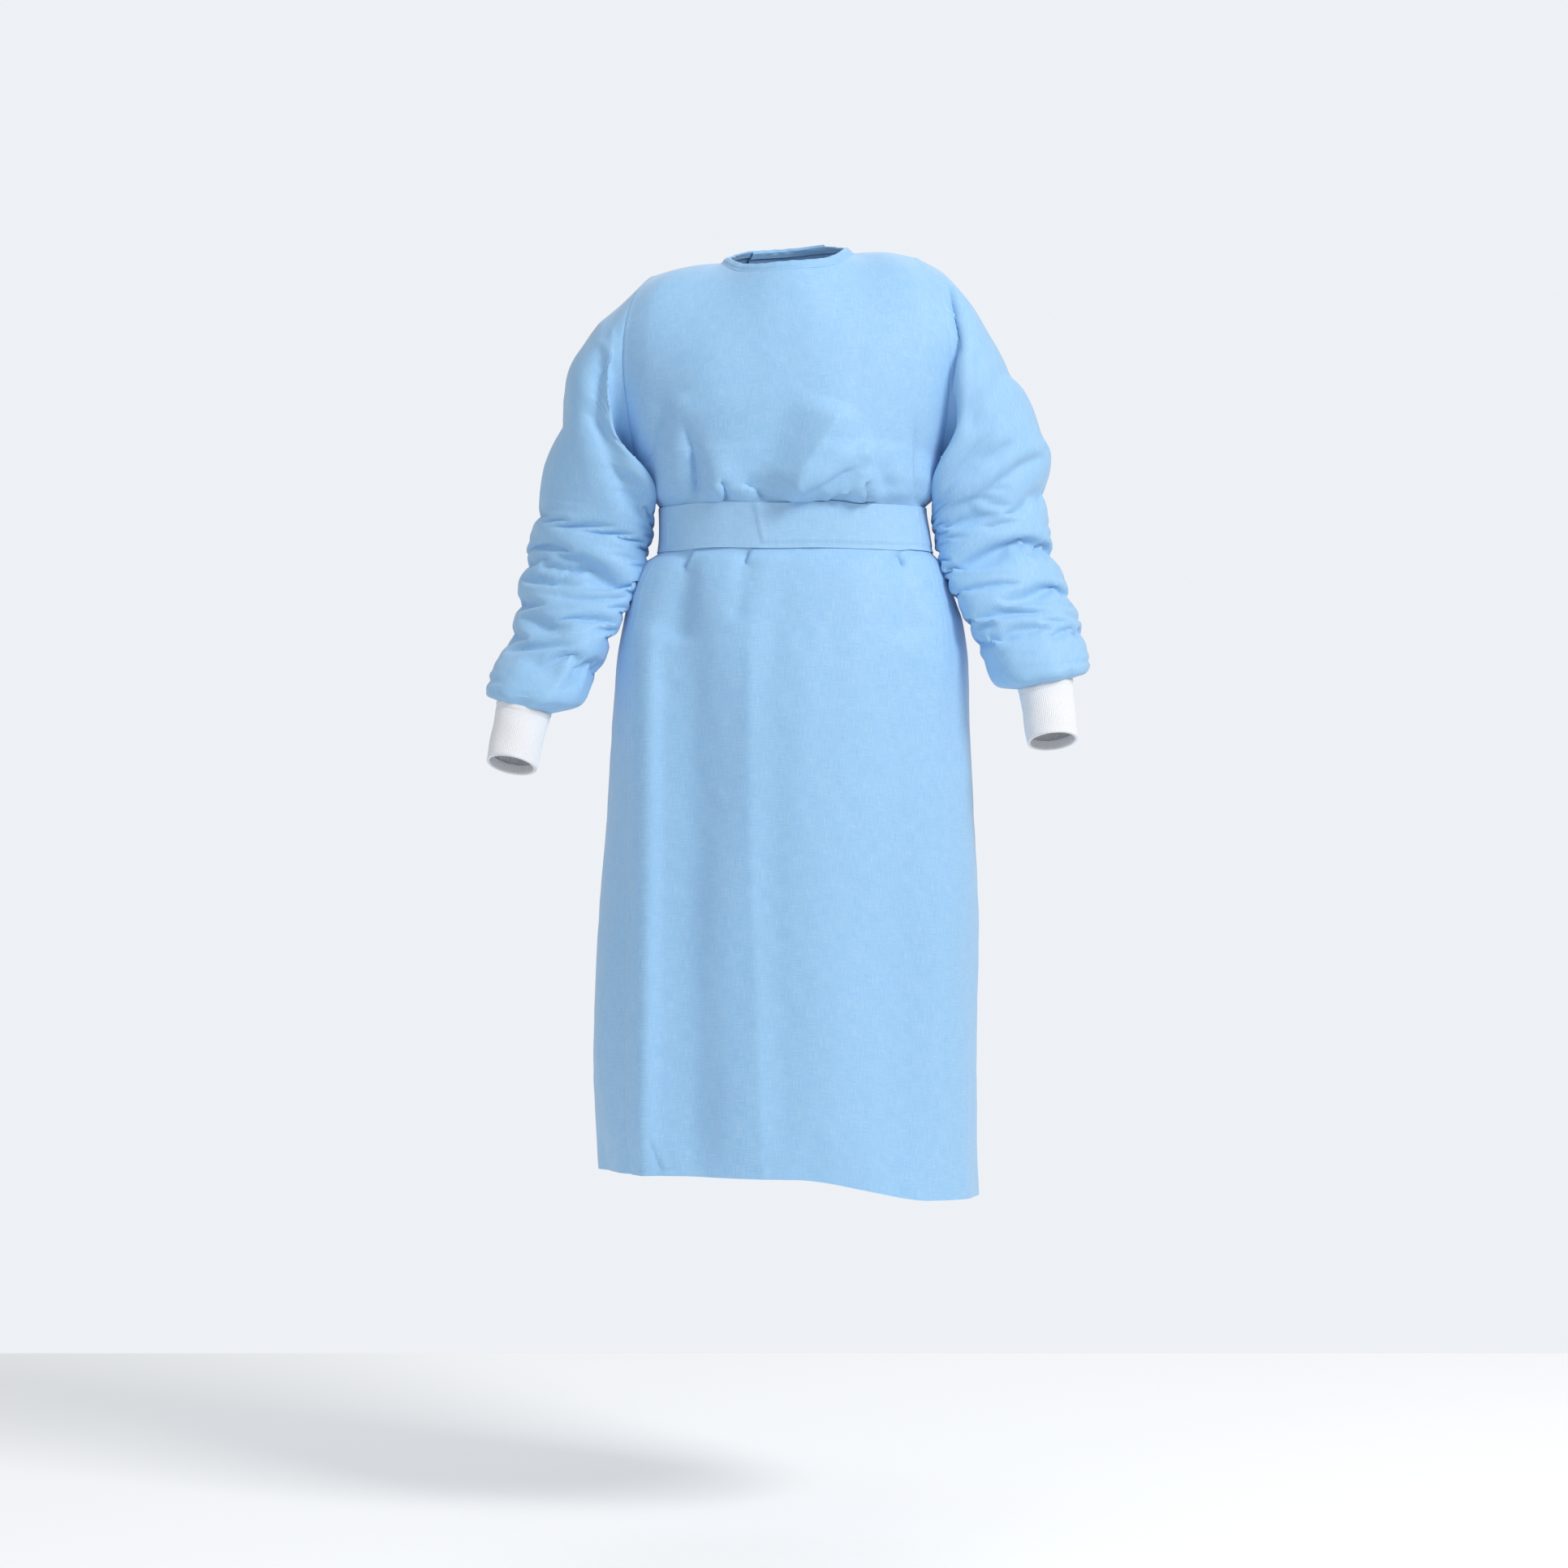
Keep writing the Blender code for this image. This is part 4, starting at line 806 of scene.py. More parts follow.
def press(net, out, creases, face, reach, gain=1.0):
    """Move a net's points for its creases on one face. gain makes them deeper than drawn."""
    x, z = net[..., 0], net[..., 2]
    height, slide_x, slide_z = np.zeros(x.shape), np.zeros(x.shape), np.zeros(x.shape)
    near = facing(out, face, reach)
    for crease in creases:
        signed, along, lean_x, lean_z = near_line(x, z, crease.line)
        u = signed / crease.width
        steep = np.where(u > 0, u / LIP_SHARE, u)
        fade = near * smooth(along / CREASE_ENDS + CREASE_START)
        fade = fade * smooth((1.0 - along) / CREASE_ENDS + CREASE_START)
        swell = np.where(u > 0, u * np.exp(1.0 - u), 0.0)
        swell = swell - FOOT_SWELL * np.where(u < 0, -u * np.exp(1.0 + u), 0.0)
        dive = -crease.depth * np.exp(-np.abs(steep) ** CREASE_POWER)
        height += gain * fade * (dive + crease.lip * swell)
        push = fade * SLIDE_SHARE * crease.width * bell(u - SLIDE_PLACE, SLIDE_PLACE) * (crease.lip > 0)
        slide_x -= push * lean_x
        slide_z -= push * lean_z
    moved = raised(net, out, height)
    moved[..., 0] += slide_x
    moved[..., 2] += slide_z
    return moved


def facets(net, out, table, face):
    """Heights of long one-sided folds: the cloth rises slowly to a crest and falls off sooner."""
    x, z = net[..., 0], net[..., 2]
    height = np.zeros(x.shape)
    for facet in table:
        signed, along, _, _ = near_line(x, z, facet.line)
        span = np.where(signed > 0, facet.after, facet.before)
        part = np.clip((np.sqrt(signed ** 2 + CREST ** 2) - CREST) / span, 0.0, 1.0)
        left = FACET_AT_BELT if facet.line[0][1] > BELT_TOP else FACET_AT_HEM
        ends = smooth(along / FACET_ENDS + FACET_START) * smooth((1.0 - along) / FACET_ENDS + left)
        height += facet.height * ends * (1.0 - part) ** FACET_POWER
    return height * facing(out, face, BODY_REACH) * off_belt(z)


def wavelets(points_at, seed, size, count=24):
    """Soft uneven waves of about one size at any points: a sum of tilted sines, from -1 to 1."""
    random = np.random.default_rng(seed)
    total = np.zeros(points_at.shape[:-1])
    for _ in range(count):
        way = random.normal(size=3)
        way *= 2.0 * math.pi / (size * random.uniform(0.7, 1.5) * np.linalg.norm(way))
        total += np.sin(points_at @ way + random.uniform(0.0, 2.0 * math.pi))
    return total / math.sqrt(count)


def buckles(net, seed, size, height):
    """Small sharp-edged buckles: ridges where two sets of waves cross zero."""
    first = 1.0 - np.minimum(np.abs(wavelets(net, seed, size)), 1.0)
    second = wavelets(net, seed + 1, size * 2.2)
    return height * (first ** 2 - 0.4) * smooth(0.5 + second)


BUCKLE_SIZE, BUCKLE_HEIGHT = 0.045, 0.0030
FREE_SHOULDER, FREE_CUFF = 0.06, 0.03           # parts of the sleeve over which its sewn ends hold it


def raise_facets(net, out, table, face):
    """A net with its one-sided folds raised along its normals."""
    return raised(net, out, facets(net, out, table, face))


sleeve_seams = {half: sleeve_nets[half][0].copy() for half in (-1, 1)}
sleeve_along = (np.arange(SLEEVE_ROWS + 1) / SLEEVE_ROWS)[:, None]
for half in (-1, 1):
    net, out = sleeve_nets[half], sleeve_outs[half]
    for face, table in ((-1.0, SLEEVE_FRONT), (1.0, SLEEVE_BACK)):
        net = press(net, out, table[half], face, SLEEVE_REACH, SLEEVE_GAIN)
    free = smooth(sleeve_along / FREE_SHOULDER) * smooth((1.0 - sleeve_along) / FREE_CUFF)
    net = raised(net, out, free * buckles(net, 11 * half + 20, BUCKLE_SIZE, BUCKLE_HEIGHT))
    sleeve_nets[half] = sleeve_nets[half] + (net - sleeve_nets[half]) * free[..., None]
    sleeve_nets[half][0] = sleeve_seams[half]
front_net = raise_facets(front_net, front_out, FRONT_FACETS, -1.0)
front_net = press(front_net, front_out, BODY_FRONT, -1.0, BODY_REACH)
for half in (-1, 1):
    net = raise_facets(back_nets[half], back_outs[half], BACK_FACETS, 1.0)
    back_nets[half] = press(net, back_outs[half], BODY_BACK, 1.0, BODY_REACH)
front_out, back_outs, sleeve_outs = gown_normals(front_net, back_nets, sleeve_nets)
print("creases pressed in")

# %% [markdown]
# ## Seams, hem and pressed lines
# Beside each sewn seam the cloth rises over its turned-in allowance and sinks at the stitches. The
# raw hem ripples a little, and the whole skirt carries very shallow waves from lying folded.

# %% Seams and hem
SEAM_RISE, SEAM_SINK, SEAM_WIDTH = 0.0007, 0.0002, 0.0042
HEM_RIPPLE, HEM_REACH, WAVE_HEIGHT = 0.0016, 0.06, 0.0011
SKIRT_START, CHEST_START = 0.06, 0.04           # how far off the belt the waves come in


def seam_relief(net, from_left=True, from_right=False):
    """Heights beside the open side edges of a panel."""
    away = walked(net, 1)
    height = np.zeros(away.shape)
    for used, distance in ((from_left, away), (from_right, away[:, -1:] - away)):
        if used:
            height += SEAM_RISE * bell(distance - SEAM_WIDTH, 0.5 * SEAM_WIDTH)
            height -= SEAM_SINK * bell(distance, 0.35 * SEAM_WIDTH)
    return height


def soft_waves(net, seed):
    """Shallow waves of the skirt, stronger ripples at the hem, none at the belt."""
    z = net[..., 2]
    skirt, upper = smooth((BELT_BOTTOM - z) / SKIRT_START), smooth((z - BELT_TOP) / CHEST_START)
    wave = WAVE_HEIGHT * wavelets(net * (1.0, 1.0, 0.35), seed, 0.075) * (skirt + 0.5 * upper)
    wave += 0.5 * WAVE_HEIGHT * wavelets(net, seed + 1, 0.035) * (0.4 * skirt + 0.15 * upper)
    hem = smooth((HEM_REACH - (z - z.min(axis=0))) / HEM_REACH)
    return wave + HEM_RIPPLE * hem * wavelets(net * (1.0, 1.0, 0.1), seed + 2, 0.05)


front_net = raised(front_net, front_out, seam_relief(front_net, True, True) + soft_waves(front_net, 3))
for half in (-1, 1):
    relief = seam_relief(back_nets[half]) + soft_waves(back_nets[half], 3)
    back_nets[half] = raised(back_nets[half], back_outs[half], relief)
for half in (-1, 1):
    sleeve_seams[half] = armhole(front_net, back_nets, half)
    sleeve_nets[half][0] = sleeve_seams[half]
front_out, back_outs, sleeve_outs = gown_normals(front_net, back_nets, sleeve_nets)
print("seams and hem done")

# %% [markdown]
# ## Letting the sleeves settle
# A sleeve pushed up the arm has more length than room, so it buckles. Here the cloth starts at its
# full cut length and is drawn up to the creased shape above, which holds it only softly. The extra
# length has to go somewhere, so the cloth simulation finds small stiff buckles of its own.

# %% Settling
def settle(name, cut, worn, hold, frames=22, drawn_up=10, stiffness=20.0, bending=150.0, mass=0.3):
    """Draw a closed net from its cut shape to its worn shape. hold: 1 pinned, less is softer."""
    rows, width = worn.shape[:2]
    quads, _, _ = quads_of(rows, width, width)
    mesh = bpy.data.meshes.new(name)
    mesh.from_pydata(cut.reshape(-1, 3).tolist(), [], quads.tolist())
    piece = bpy.data.objects.new(name, mesh)
    bpy.context.scene.collection.objects.link(piece)
    piece.shape_key_add(name="Basis")
    key = piece.shape_key_add(name="worn")
    key.data.foreach_set("co", worn.reshape(-1).astype(np.float32))
    for value, number in ((0.0, 1), (1.0, drawn_up)):
        key.value = value
        key.keyframe_insert("value", frame=number)
    group = piece.vertex_groups.new(name="hold")
    levels = np.round(np.broadcast_to(hold, (rows, width)).ravel(), 2)
    for level in np.unique(levels):
        group.add(np.nonzero(levels == level)[0].tolist(), float(level), "REPLACE")
    cloth = piece.modifiers.new("Cloth", "CLOTH")
    rules = cloth.settings
    rules.quality, rules.mass, rules.air_damping = 5, mass, 2.0
    rules.tension_stiffness = rules.compression_stiffness = stiffness
    rules.shear_stiffness, rules.bending_stiffness = stiffness * 0.5, bending
    rules.vertex_group_mass, rules.pin_stiffness = group.name, 1.0
    rules.effector_weights.gravity = 0.0
    cloth.collision_settings.use_collision = False
    cloth.point_cache.frame_start, cloth.point_cache.frame_end = 1, frames
    for number in range(1, frames + 1):
        bpy.context.scene.frame_set(number)
    settled = piece.evaluated_get(bpy.context.evaluated_depsgraph_get()).to_mesh()
    found = np.empty(rows * width * 3)
    settled.vertices.foreach_get("co", found)
    action = mesh.shape_keys.animation_data.action
    bpy.data.objects.remove(piece, do_unlink=True)
    bpy.data.actions.remove(action)
    bpy.context.scene.frame_set(1)
    found = found.reshape(worn.shape)
    moved = 1000 * float(np.linalg.norm(found - worn, axis=-1).mean())
    print(name, "moved on average", round(moved, 2), "mm")
    return found


SLEEVE_EXTRA = 0.042            # metres of cloth pushed up, most of it round the elbow and below
PUSHED_FROM = 0.45              # above this part of the sleeve hardly any of it lies
SLEEVE_HOLD, UPPER_HOLD, SEAM_HOLD = 0.34, 0.60, 0.07
SOFTER_FROM, SOFTER_OVER = 0.35, 0.25           # where the hold changes from the upper sleeve's to the rest's


def sleeve_cut(half):
    """The plain sleeve drawn out along its own line to its cut length."""
    plain = sleeve(half, sleeve_seams[half], relief=0.0)
    start, end = plain[0].mean(0), plain[-1].mean(0)
    line = (end - start) / np.linalg.norm(end - start)
    share = smooth((sleeve_along - PUSHED_FROM) / (1.0 - PUSHED_FROM)) + 0.0 * plain[..., 0]
    return plain + (SLEEVE_EXTRA * share)[..., None] * line


for half in (-1, 1):
    near_seam = 1.0 - smooth(sleeve_along / SEAM_HOLD) * smooth((1.0 - sleeve_along) / SEAM_HOLD)
    softer = smooth((sleeve_along - SOFTER_FROM) / SOFTER_OVER)
    base = UPPER_HOLD + (SLEEVE_HOLD - UPPER_HOLD) * softer
    hold = np.broadcast_to(base + (1.0 - base) * near_seam, sleeve_nets[half].shape[:2])
    sleeve_nets[half] = settle("settle_sleeve", sleeve_cut(half), sleeve_nets[half], hold)
    sleeve_nets[half][0] = sleeve_seams[half]
front_out, back_outs, sleeve_outs = gown_normals(front_net, back_nets, sleeve_nets)

# %% [markdown]
# ## Making a thin shell
# Every cloth piece is a net of points with two faces a fraction of a millimetre apart and a rim
# all round. Its UV map holds the flat lay of the cloth in metres.

# %% Shell
THIN = 0.0005


def lay_of(net, closed):
    """Flat lay of a net in metres: distance along its rows and up its columns."""
    ring = np.concatenate([net, net[:, :1]], axis=1) if closed else net
    across = walked(ring, 1)
    if closed:
        across = across / across[:, -1:] * across[:, -1].mean()
    else:
        across -= across[:, across.shape[1] // 2][:, None]
    return np.stack([across, walked(ring, 0)], -1)


def add_piece(name, mesh, finish, node_name=None):
    """Hang a mesh on the body with its finish, in place of a solid where one is named."""
    mesh.materials.append(finish)
    piece = bpy.data.objects.new(name, mesh)
    bpy.context.scene.collection.objects.link(piece)
    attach(piece, "root")
    if node_name:
        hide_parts(node_name)
    return piece


def shell(node_name, net, out, finish, thickness=THIN, closed=False, sharp=50.0, made_of="cloth"):
    """A closed thin shell about a net of points, in place of a solid, with its lay as UV map."""
    name = node_name + "_" + made_of
    rows, width = net.shape[:2]
    spans = width if closed else width - 1
    count = rows * width
    corners = np.concatenate([(net + out * thickness / 2).reshape(-1, 3),
                              (net - out * thickness / 2).reshape(-1, 3)])
    quads, r, k = quads_of(rows, width, spans)
    spots = np.stack([np.stack([r, k], -1), np.stack([r, k + 1], -1), np.stack([r + 1, k + 1], -1),
                      np.stack([r + 1, k], -1)], 1)
    a, b, c, d = (corners[quads[:, i]] for i in range(4))
    facing = np.sum(np.cross(c - a, d - b) * out.reshape(-1, 3)[quads[:, 0]], -1).mean()
    if facing < 0:
        quads, spots = quads[:, ::-1], spots[:, ::-1]
    faces, places = [quads, quads[:, ::-1] + count], [spots, spots[:, ::-1]]

    def rim(first, second, spot_first, spot_second):
        """Quads between the two faces along one edge of the net."""
        strip = np.stack([first, first + count, second + count, second], -1)
        where = np.stack([spot_first, spot_first, spot_second, spot_second], 1)
        faces.append(strip if facing > 0 else strip[:, ::-1])
        places.append(where if facing > 0 else where[:, ::-1])

    k = np.arange(spans)
    f = (k + 1) % width
    low, high = np.stack([0 * k, k], -1), np.stack([0 * k, k + 1], -1)
    rim(k, f, low, high)
    top = (rows - 1) * width
    rim(top + f, top + k, high + (rows - 1, 0), low + (rows - 1, 0))
    if not closed:
        r = np.arange(rows - 1)
        zero = 0 * r
        rim((r + 1) * width, r * width, np.stack([r + 1, zero], -1), np.stack([r, zero], -1))
        end = zero + width - 1
        rim(r * width + end, (r + 1) * width + end, np.stack([r, end], -1), np.stack([r + 1, end], -1))
    faces, places = np.concatenate(faces), np.concatenate(places)
    mesh = bpy.data.meshes.new(name)
    mesh.from_pydata(corners.tolist(), [], faces.tolist())
    flat = lay_of(net, closed)
    uv = flat[places[..., 0].ravel(), places[..., 1].ravel()]
    mesh.uv_layers.new(name=LAY).data.foreach_set("uv", uv.ravel())
    mesh.shade_smooth()
    mesh.set_sharp_from_angle(angle=math.radians(sharp))
    print(name, len(faces) * 2, "triangles")
    return add_piece(name, mesh, finish, node_name)


OUT = CLOTH_WALL / 2.0 - THIN / 2.0     # the thin cloth lies at the outer face of its solid
LAP_RISE_COLUMNS = 3.0
SIDES = ((1, "left"), (-1, "right"))


def lap_rise(column):
    """How far a column of the outer back panel lies off the inner one."""
    return LAP_RISE * smooth((column - SHOULDER_COLUMNS) / LAP_RISE_COLUMNS)


front_cloth = shell("front", front_net + front_out * OUT, front_out, gown_cloth)
back_left_cloth = shell("back_left", back_nets[1] + back_outs[1] * OUT, back_outs[1], gown_cloth)
lift = (OUT + lap_rise(back_columns))[None, :, None]
back_right_cloth = shell("back_right", back_nets[-1] + back_outs[-1] * lift, back_outs[-1], gown_cloth)
for half, side_name in SIDES:
    net, out = sleeve_nets[half], sleeve_outs[half]
    shell("sleeve_" + side_name, net + out * OUT, out, gown_cloth, closed=True)

# %% [markdown]
# ## The belt
# The belt is a folded band of the same cloth that goes twice round. It takes its line from the
# panels under it and rises over the lap at the back. On the front the outer turn starts beside the
# middle with a folded corner, and its lower edge lies a little above the inner turn's.

# %% Belt
BELT_ROWS, BELT_THICKNESS, BELT_OFF = 26, 0.0008, 0.0021
TURN_START_TOP, TURN_START_BOTTOM, TURN_LOW_EDGE, TURN_STEP = -0.041, -0.031, 0.0072, 0.0009
TURN_SIDE_SLOPE, TURN_LOW_SLOPE = 0.002, 0.0016             # widths over which the outer turn's edges rise
CORNER_HEIGHT, CORNER_IN, CORNER_WIDTH, CORNER_WIDENS = 0.0013, 0.003, 0.0010, 0.0035
BELT_WAVE, EDGE_WAVE, BELT_SWAY = 0.00035, 0.0005, 0.0011


def row_at(z):
    """The fractional row of a body net at a height below the underarm."""
    return (z - BODY[0].z) / (UNDERARM_Z - BODY[0].z) * SKIRT_ROWS


def at_height(net, z):
    """A net's rows read at heights between its own rows, below the underarm."""
    row = row_at(z)
    low = int(min(row, SKIRT_ROWS - 1))
    return net[low] + (net[low + 1] - net[low]) * (row - low)


def belt_rise(half, column):
    """How far the lap lifts the belt off a back panel."""
    if half < 0:
        return lap_rise(column)
    return LAP_RISE * smooth((column - HALF_COLUMNS + LAP_COLUMNS) / 2.0 + 1.0)


middle_column = HALF_COLUMNS * FINER
left_part, right_part = slice(1, middle_column + 1), slice(middle_column - 1, 0, -1)
heights = np.linspace(BELT_BOTTOM, BELT_TOP, BELT_ROWS)
line_rise = np.concatenate([np.zeros(front_net.shape[1]), belt_rise(1, back_columns[left_part]),
                            belt_rise(-1, back_columns[right_part])])
belt_net = np.array([np.concatenate([at_height(front_net, z), at_height(back_nets[1], z)[left_part],
                                     at_height(back_nets[-1], z)[right_part]]) for z in heights])
belt_out = unit(own_normals(belt_net, True, 1.0))
belt_x, belt_part = belt_net[..., 0], ((heights - BELT_BOTTOM) / (BELT_TOP - BELT_BOTTOM))[:, None]
turn_start = TURN_START_BOTTOM + (TURN_START_TOP - TURN_START_BOTTOM) * belt_part
on_front = belt_net[..., 1] < 0
outer_turn = smooth((belt_x - turn_start) / TURN_SIDE_SLOPE + 0.5) * smooth(
    (heights[:, None] - BELT_BOTTOM - TURN_LOW_EDGE) / TURN_LOW_SLOPE + 0.5)
corner = bell(belt_x - turn_start - CORNER_IN, CORNER_WIDTH + CORNER_WIDENS * belt_part)
corner = corner * smooth(belt_part * 3.0)
belt_height = BELT_OFF + line_rise + on_front * (TURN_STEP * outer_turn + CORNER_HEIGHT * corner)
belt_height = belt_height + BELT_WAVE * wavelets(belt_net * (1.0, 1.0, 0.5), 31, 0.05)
belt_height = belt_height + EDGE_WAVE * np.maximum(wavelets(belt_net * (1.0, 1.0, 0.0), 33, 0.07), 0.0) * (
    smooth(1.0 - belt_part * 4.0) + smooth(belt_part * 4.0 - 3.0))
belt_net = raised(belt_net, belt_out, belt_height)
belt_net[..., 2] += BELT_SWAY * wavelets(belt_net * (1.0, 1.0, 0.0), 32, 0.12)
belt_piece = shell("belt", belt_net, belt_out, belt_cloth, BELT_THICKNESS, closed=True)

# %% [markdown]
# ## Knit cuffs
# A knit cuff is a tube of rib folded at the wrist edge. Its ribs are raised in the mesh, the sewn
# edge has a low ridge, and the wrist edge turns in on itself.

# %% Cuffs
CUFF_RIBS, CUFF_POINTS, RIB_HEIGHT, RIB_POWER, CUFF_ROWS = 84, 504, 0.00042, 0.7, 30
CUFF_SWELL, CUFF_ROUNDED, CUFF_THICKNESS, CUFF_WOBBLE = 0.0010, 0.5, 0.0007, 0.0005
BEND_ROWS, EDGE_RADIUS, CUFF_TURN = 6, 0.0011, 0.010        # the bend at the wrist and the part turned in
Ridge = namedtuple("Ridge", "height place width")
CUFF_RIDGES = (Ridge(0.0010, 0.055, 0.018), Ridge(-0.0006, 0.10, 0.015))        # at the sewn edge


def cuff(half):
    """A cuff's net, from the sleeve's last ring down to the wrist edge and in."""
    turn = np.radians(360.0 * np.arange(CUFF_POINTS) / CUFF_POINTS)
    outer_x, outer_z, inner_x, inner_z, y, half_depth = read(SLEEVE_RINGS[half], 1.0)
    outer, inner = np.array((outer_x, y, outer_z)), np.array((inner_x, y, inner_z))
    centre, end = (outer + inner) / 2.0, np.array(CUFF_ENDS[half])
    axis = unit(end - centre)
    across = np.array((-half, 0.0, 0.0))
    across = unit(across - axis * (across @ axis))
    forward = np.cross(axis, across)
    forward = forward if forward[1] < 0 else -forward
    side, face = np.cos(turn)[:, None], np.sin(turn)[:, None]
    seam = (inner - outer) / 2.0 * side + np.array((0.0, -1.0, 0.0)) * half_depth * face
    rib = RIB_HEIGHT * np.abs(np.cos(turn * CUFF_RIBS / 2.0))[:, None] ** RIB_POWER
    rows = []
    for part in np.linspace(0.0, 1.0, CUFF_ROWS):
        swell = CUFF_SWELL * math.sin(math.pi * part)
        plain = across * side * (CUFF_HALF_WIDTH + swell) + forward * face * (CUFF_HALF_DEPTH + swell)
        ring = seam + (plain - seam) * smooth(part / CUFF_ROUNDED)
        ridge = sum(row.height * math.exp(-((part - row.place) / row.width) ** 2) for row in CUFF_RIDGES)
        wave = CUFF_WOBBLE * math.sin(part * 9.0 + half) * np.sin(3.0 * turn + 2.0 * part)[:, None]
        rows.append(centre + (end - centre) * part + ring + unit(ring) * (rib + ridge + wave))
    for number in range(1, 2 * BEND_ROWS + 1):
        bend = min(math.pi, number * math.pi / BEND_ROWS)
        back = max(0.0, number - BEND_ROWS) / BEND_ROWS * CUFF_TURN
        ring = across * side * CUFF_HALF_WIDTH + forward * face * CUFF_HALF_DEPTH
        lift = rib * math.cos(bend) - EDGE_RADIUS * (1.0 - math.cos(bend))
        rows.append(end + axis * (EDGE_RADIUS * math.sin(bend) - back) + ring + unit(ring) * lift)
    return np.array(rows)


for half, side_name in SIDES:
    cuff_net = cuff(half)
    cuff_out = unit(own_normals(cuff_net, True, 1.0))
    if np.sum(cuff_out[5] * (cuff_net[5] - cuff_net[5].mean(0))) < 0:
        cuff_out = -cuff_out
    shell("cuff_" + side_name, cuff_net, cuff_out, cuff_knit, CUFF_THICKNESS,
                              closed=True, sharp=75.0, made_of="knit")

# %% [markdown]
# ## Neck binding
# A strip of the cloth is folded over the neck's raw edge and stitched through, so it is a flat
# roll with a line of stitches near its lower edge, and it puckers a little between them.

# %% Binding
BINDING_POINTS, BINDING_RADIUS, BINDING_THICKNESS, BINDING_INSIDE = 420, 0.0012, 0.0005, 0.007
BINDING_LOW, BINDING_HIGH, BINDING_ROLL = -0.12, 0.88, 0.0006       # ends and swelling of its flat part
PUCKER_FINE, PUCKER_WIDE, GROOVE_DEPTH, GROOVE_WIDTH = 0.0004, 0.0006, 0.0005, 0.07
STITCH_LENGTH, STITCH_GAP, STITCH_RADIUS, STITCH_PLACE = 0.0022, 0.0009, 0.00022, 0.24
STITCH_SIDES, STITCH_STEPS, STITCH_ROW = 6, 5, 4


def binding_places():
    """Angles round the neck from lap to lap, and how far each place is lifted by the lap."""
    ends = HALF_NECK_COLUMNS + LAP_COLUMNS
    index = np.linspace(0.0, 2.0 * (ends + HALF_NECK_COLUMNS), BINDING_POINTS)
    angle = (index - ends - HALF_NECK_COLUMNS) * 90.0 / HALF_NECK_COLUMNS
    lift = np.where(index < ends, lap_rise(SHOULDER_COLUMNS + ends - index), 0.0)
    return angle, lift


def binding():
    """The binding's net: up the outside, over the edge and down the inside."""
    angle, lift = binding_places()
    low, high = neck_point(NECK_EDGE, angle), neck_point(NECK_TOP, angle)
    round_neck = unit(np.gradient(low, axis=0))
    rise = unit(high - low)
    out = unit(np.cross(round_neck, rise))
    out *= np.sign(np.sum(out * (low - low.mean(0)), -1, keepdims=True) + 1e-9)
    tall = np.linalg.norm(high - low, axis=-1, keepdims=True)
    lift = lift[:, None]
    pucker = PUCKER_FINE * wavelets(low, 41, 0.010)[:, None] + PUCKER_WIDE * wavelets(low, 42, 0.035)[:, None]
    rows = []
    for part in np.linspace(BINDING_LOW, BINDING_HIGH, 12):
        groove = -GROOVE_DEPTH * math.exp(-((part - STITCH_PLACE) / GROOVE_WIDTH) ** 2)
        roll = BINDING_ROLL * math.sin(math.pi * max(part, 0.0))
        rows.append(low + rise * tall * part + out * (BINDING_RADIUS + lift + groove + roll + pucker * part))
    for bend in np.linspace(0.0, math.pi, 9)[1:]:
        rows.append(low + rise * (tall * BINDING_HIGH + BINDING_RADIUS * math.sin(bend))
                    + out * (BINDING_RADIUS * math.cos(bend) + lift + pucker))
    for part in np.linspace(0.0, 1.0, 5)[1:]:
        rows.append(low + rise * (tall * BINDING_HIGH - BINDING_INSIDE * part) + out * (lift - BINDING_RADIUS))
    return np.array(rows), out


def stitches(name, path, out):
    """A run of short raised stitches along a path of points, joined in one mesh."""
    lengths = walked(path, 0)

    def read_at(rows, at):
        """The path or its normals at a length along it."""
        return np.array([np.interp(at, lengths, rows[:, k]) for k in range(3)])

    starts = np.arange(0.002, lengths[-1] - STITCH_LENGTH, STITCH_LENGTH + STITCH_GAP)
    corners, faces = [], []
    for start in starts:
        first = len(corners)
        for step in range(STITCH_STEPS):
            at = start + STITCH_LENGTH * step / (STITCH_STEPS - 1)
            centre, away = read_at(path, at), unit(read_at(out, at))
            aside = np.cross(unit(read_at(path, at + 1e-4) - centre), away)
            arch = math.sin(math.pi * (step + 0.35) / (STITCH_STEPS - 0.3))
            for k in range(STITCH_SIDES):
                spin = 2.0 * math.pi * k / STITCH_SIDES
                corners.append(centre + away * STITCH_RADIUS * (1.2 * arch - 0.3 + arch * math.sin(spin))
                               + aside * STITCH_RADIUS * arch * math.cos(spin))
        for ring in range(first, first + (STITCH_STEPS - 1) * STITCH_SIDES, STITCH_SIDES):
            for k in range(STITCH_SIDES):
                low, next_low = ring + k, ring + (k + 1) % STITCH_SIDES
                faces.append((low, next_low, next_low + STITCH_SIDES, low + STITCH_SIDES))
        faces.append(tuple(range(first, first + STITCH_SIDES))[::-1])
        faces.append(tuple(range(len(corners) - STITCH_SIDES, len(corners))))
    mesh = bpy.data.meshes.new(name)
    mesh.from_pydata([tuple(corner) for corner in corners], [], faces)
    mesh.shade_smooth()
    print(name, len(starts), "stitches")
    return add_piece(name, mesh, sewing_thread)


binding_net, binding_side = binding()
binding_out = unit(own_normals(binding_net, False, 1.0))
if np.sum(binding_out[4] * binding_side) < 0:
    binding_out = -binding_out
binding_piece = shell("neck_binding", binding_net, binding_out, binding_cloth, BINDING_THICKNESS)
stitch_path = binding_net[STITCH_ROW] + binding_side * BINDING_THICKNESS / 2.0
stitch_run = stitches("neck_stitching", stitch_path, binding_side)

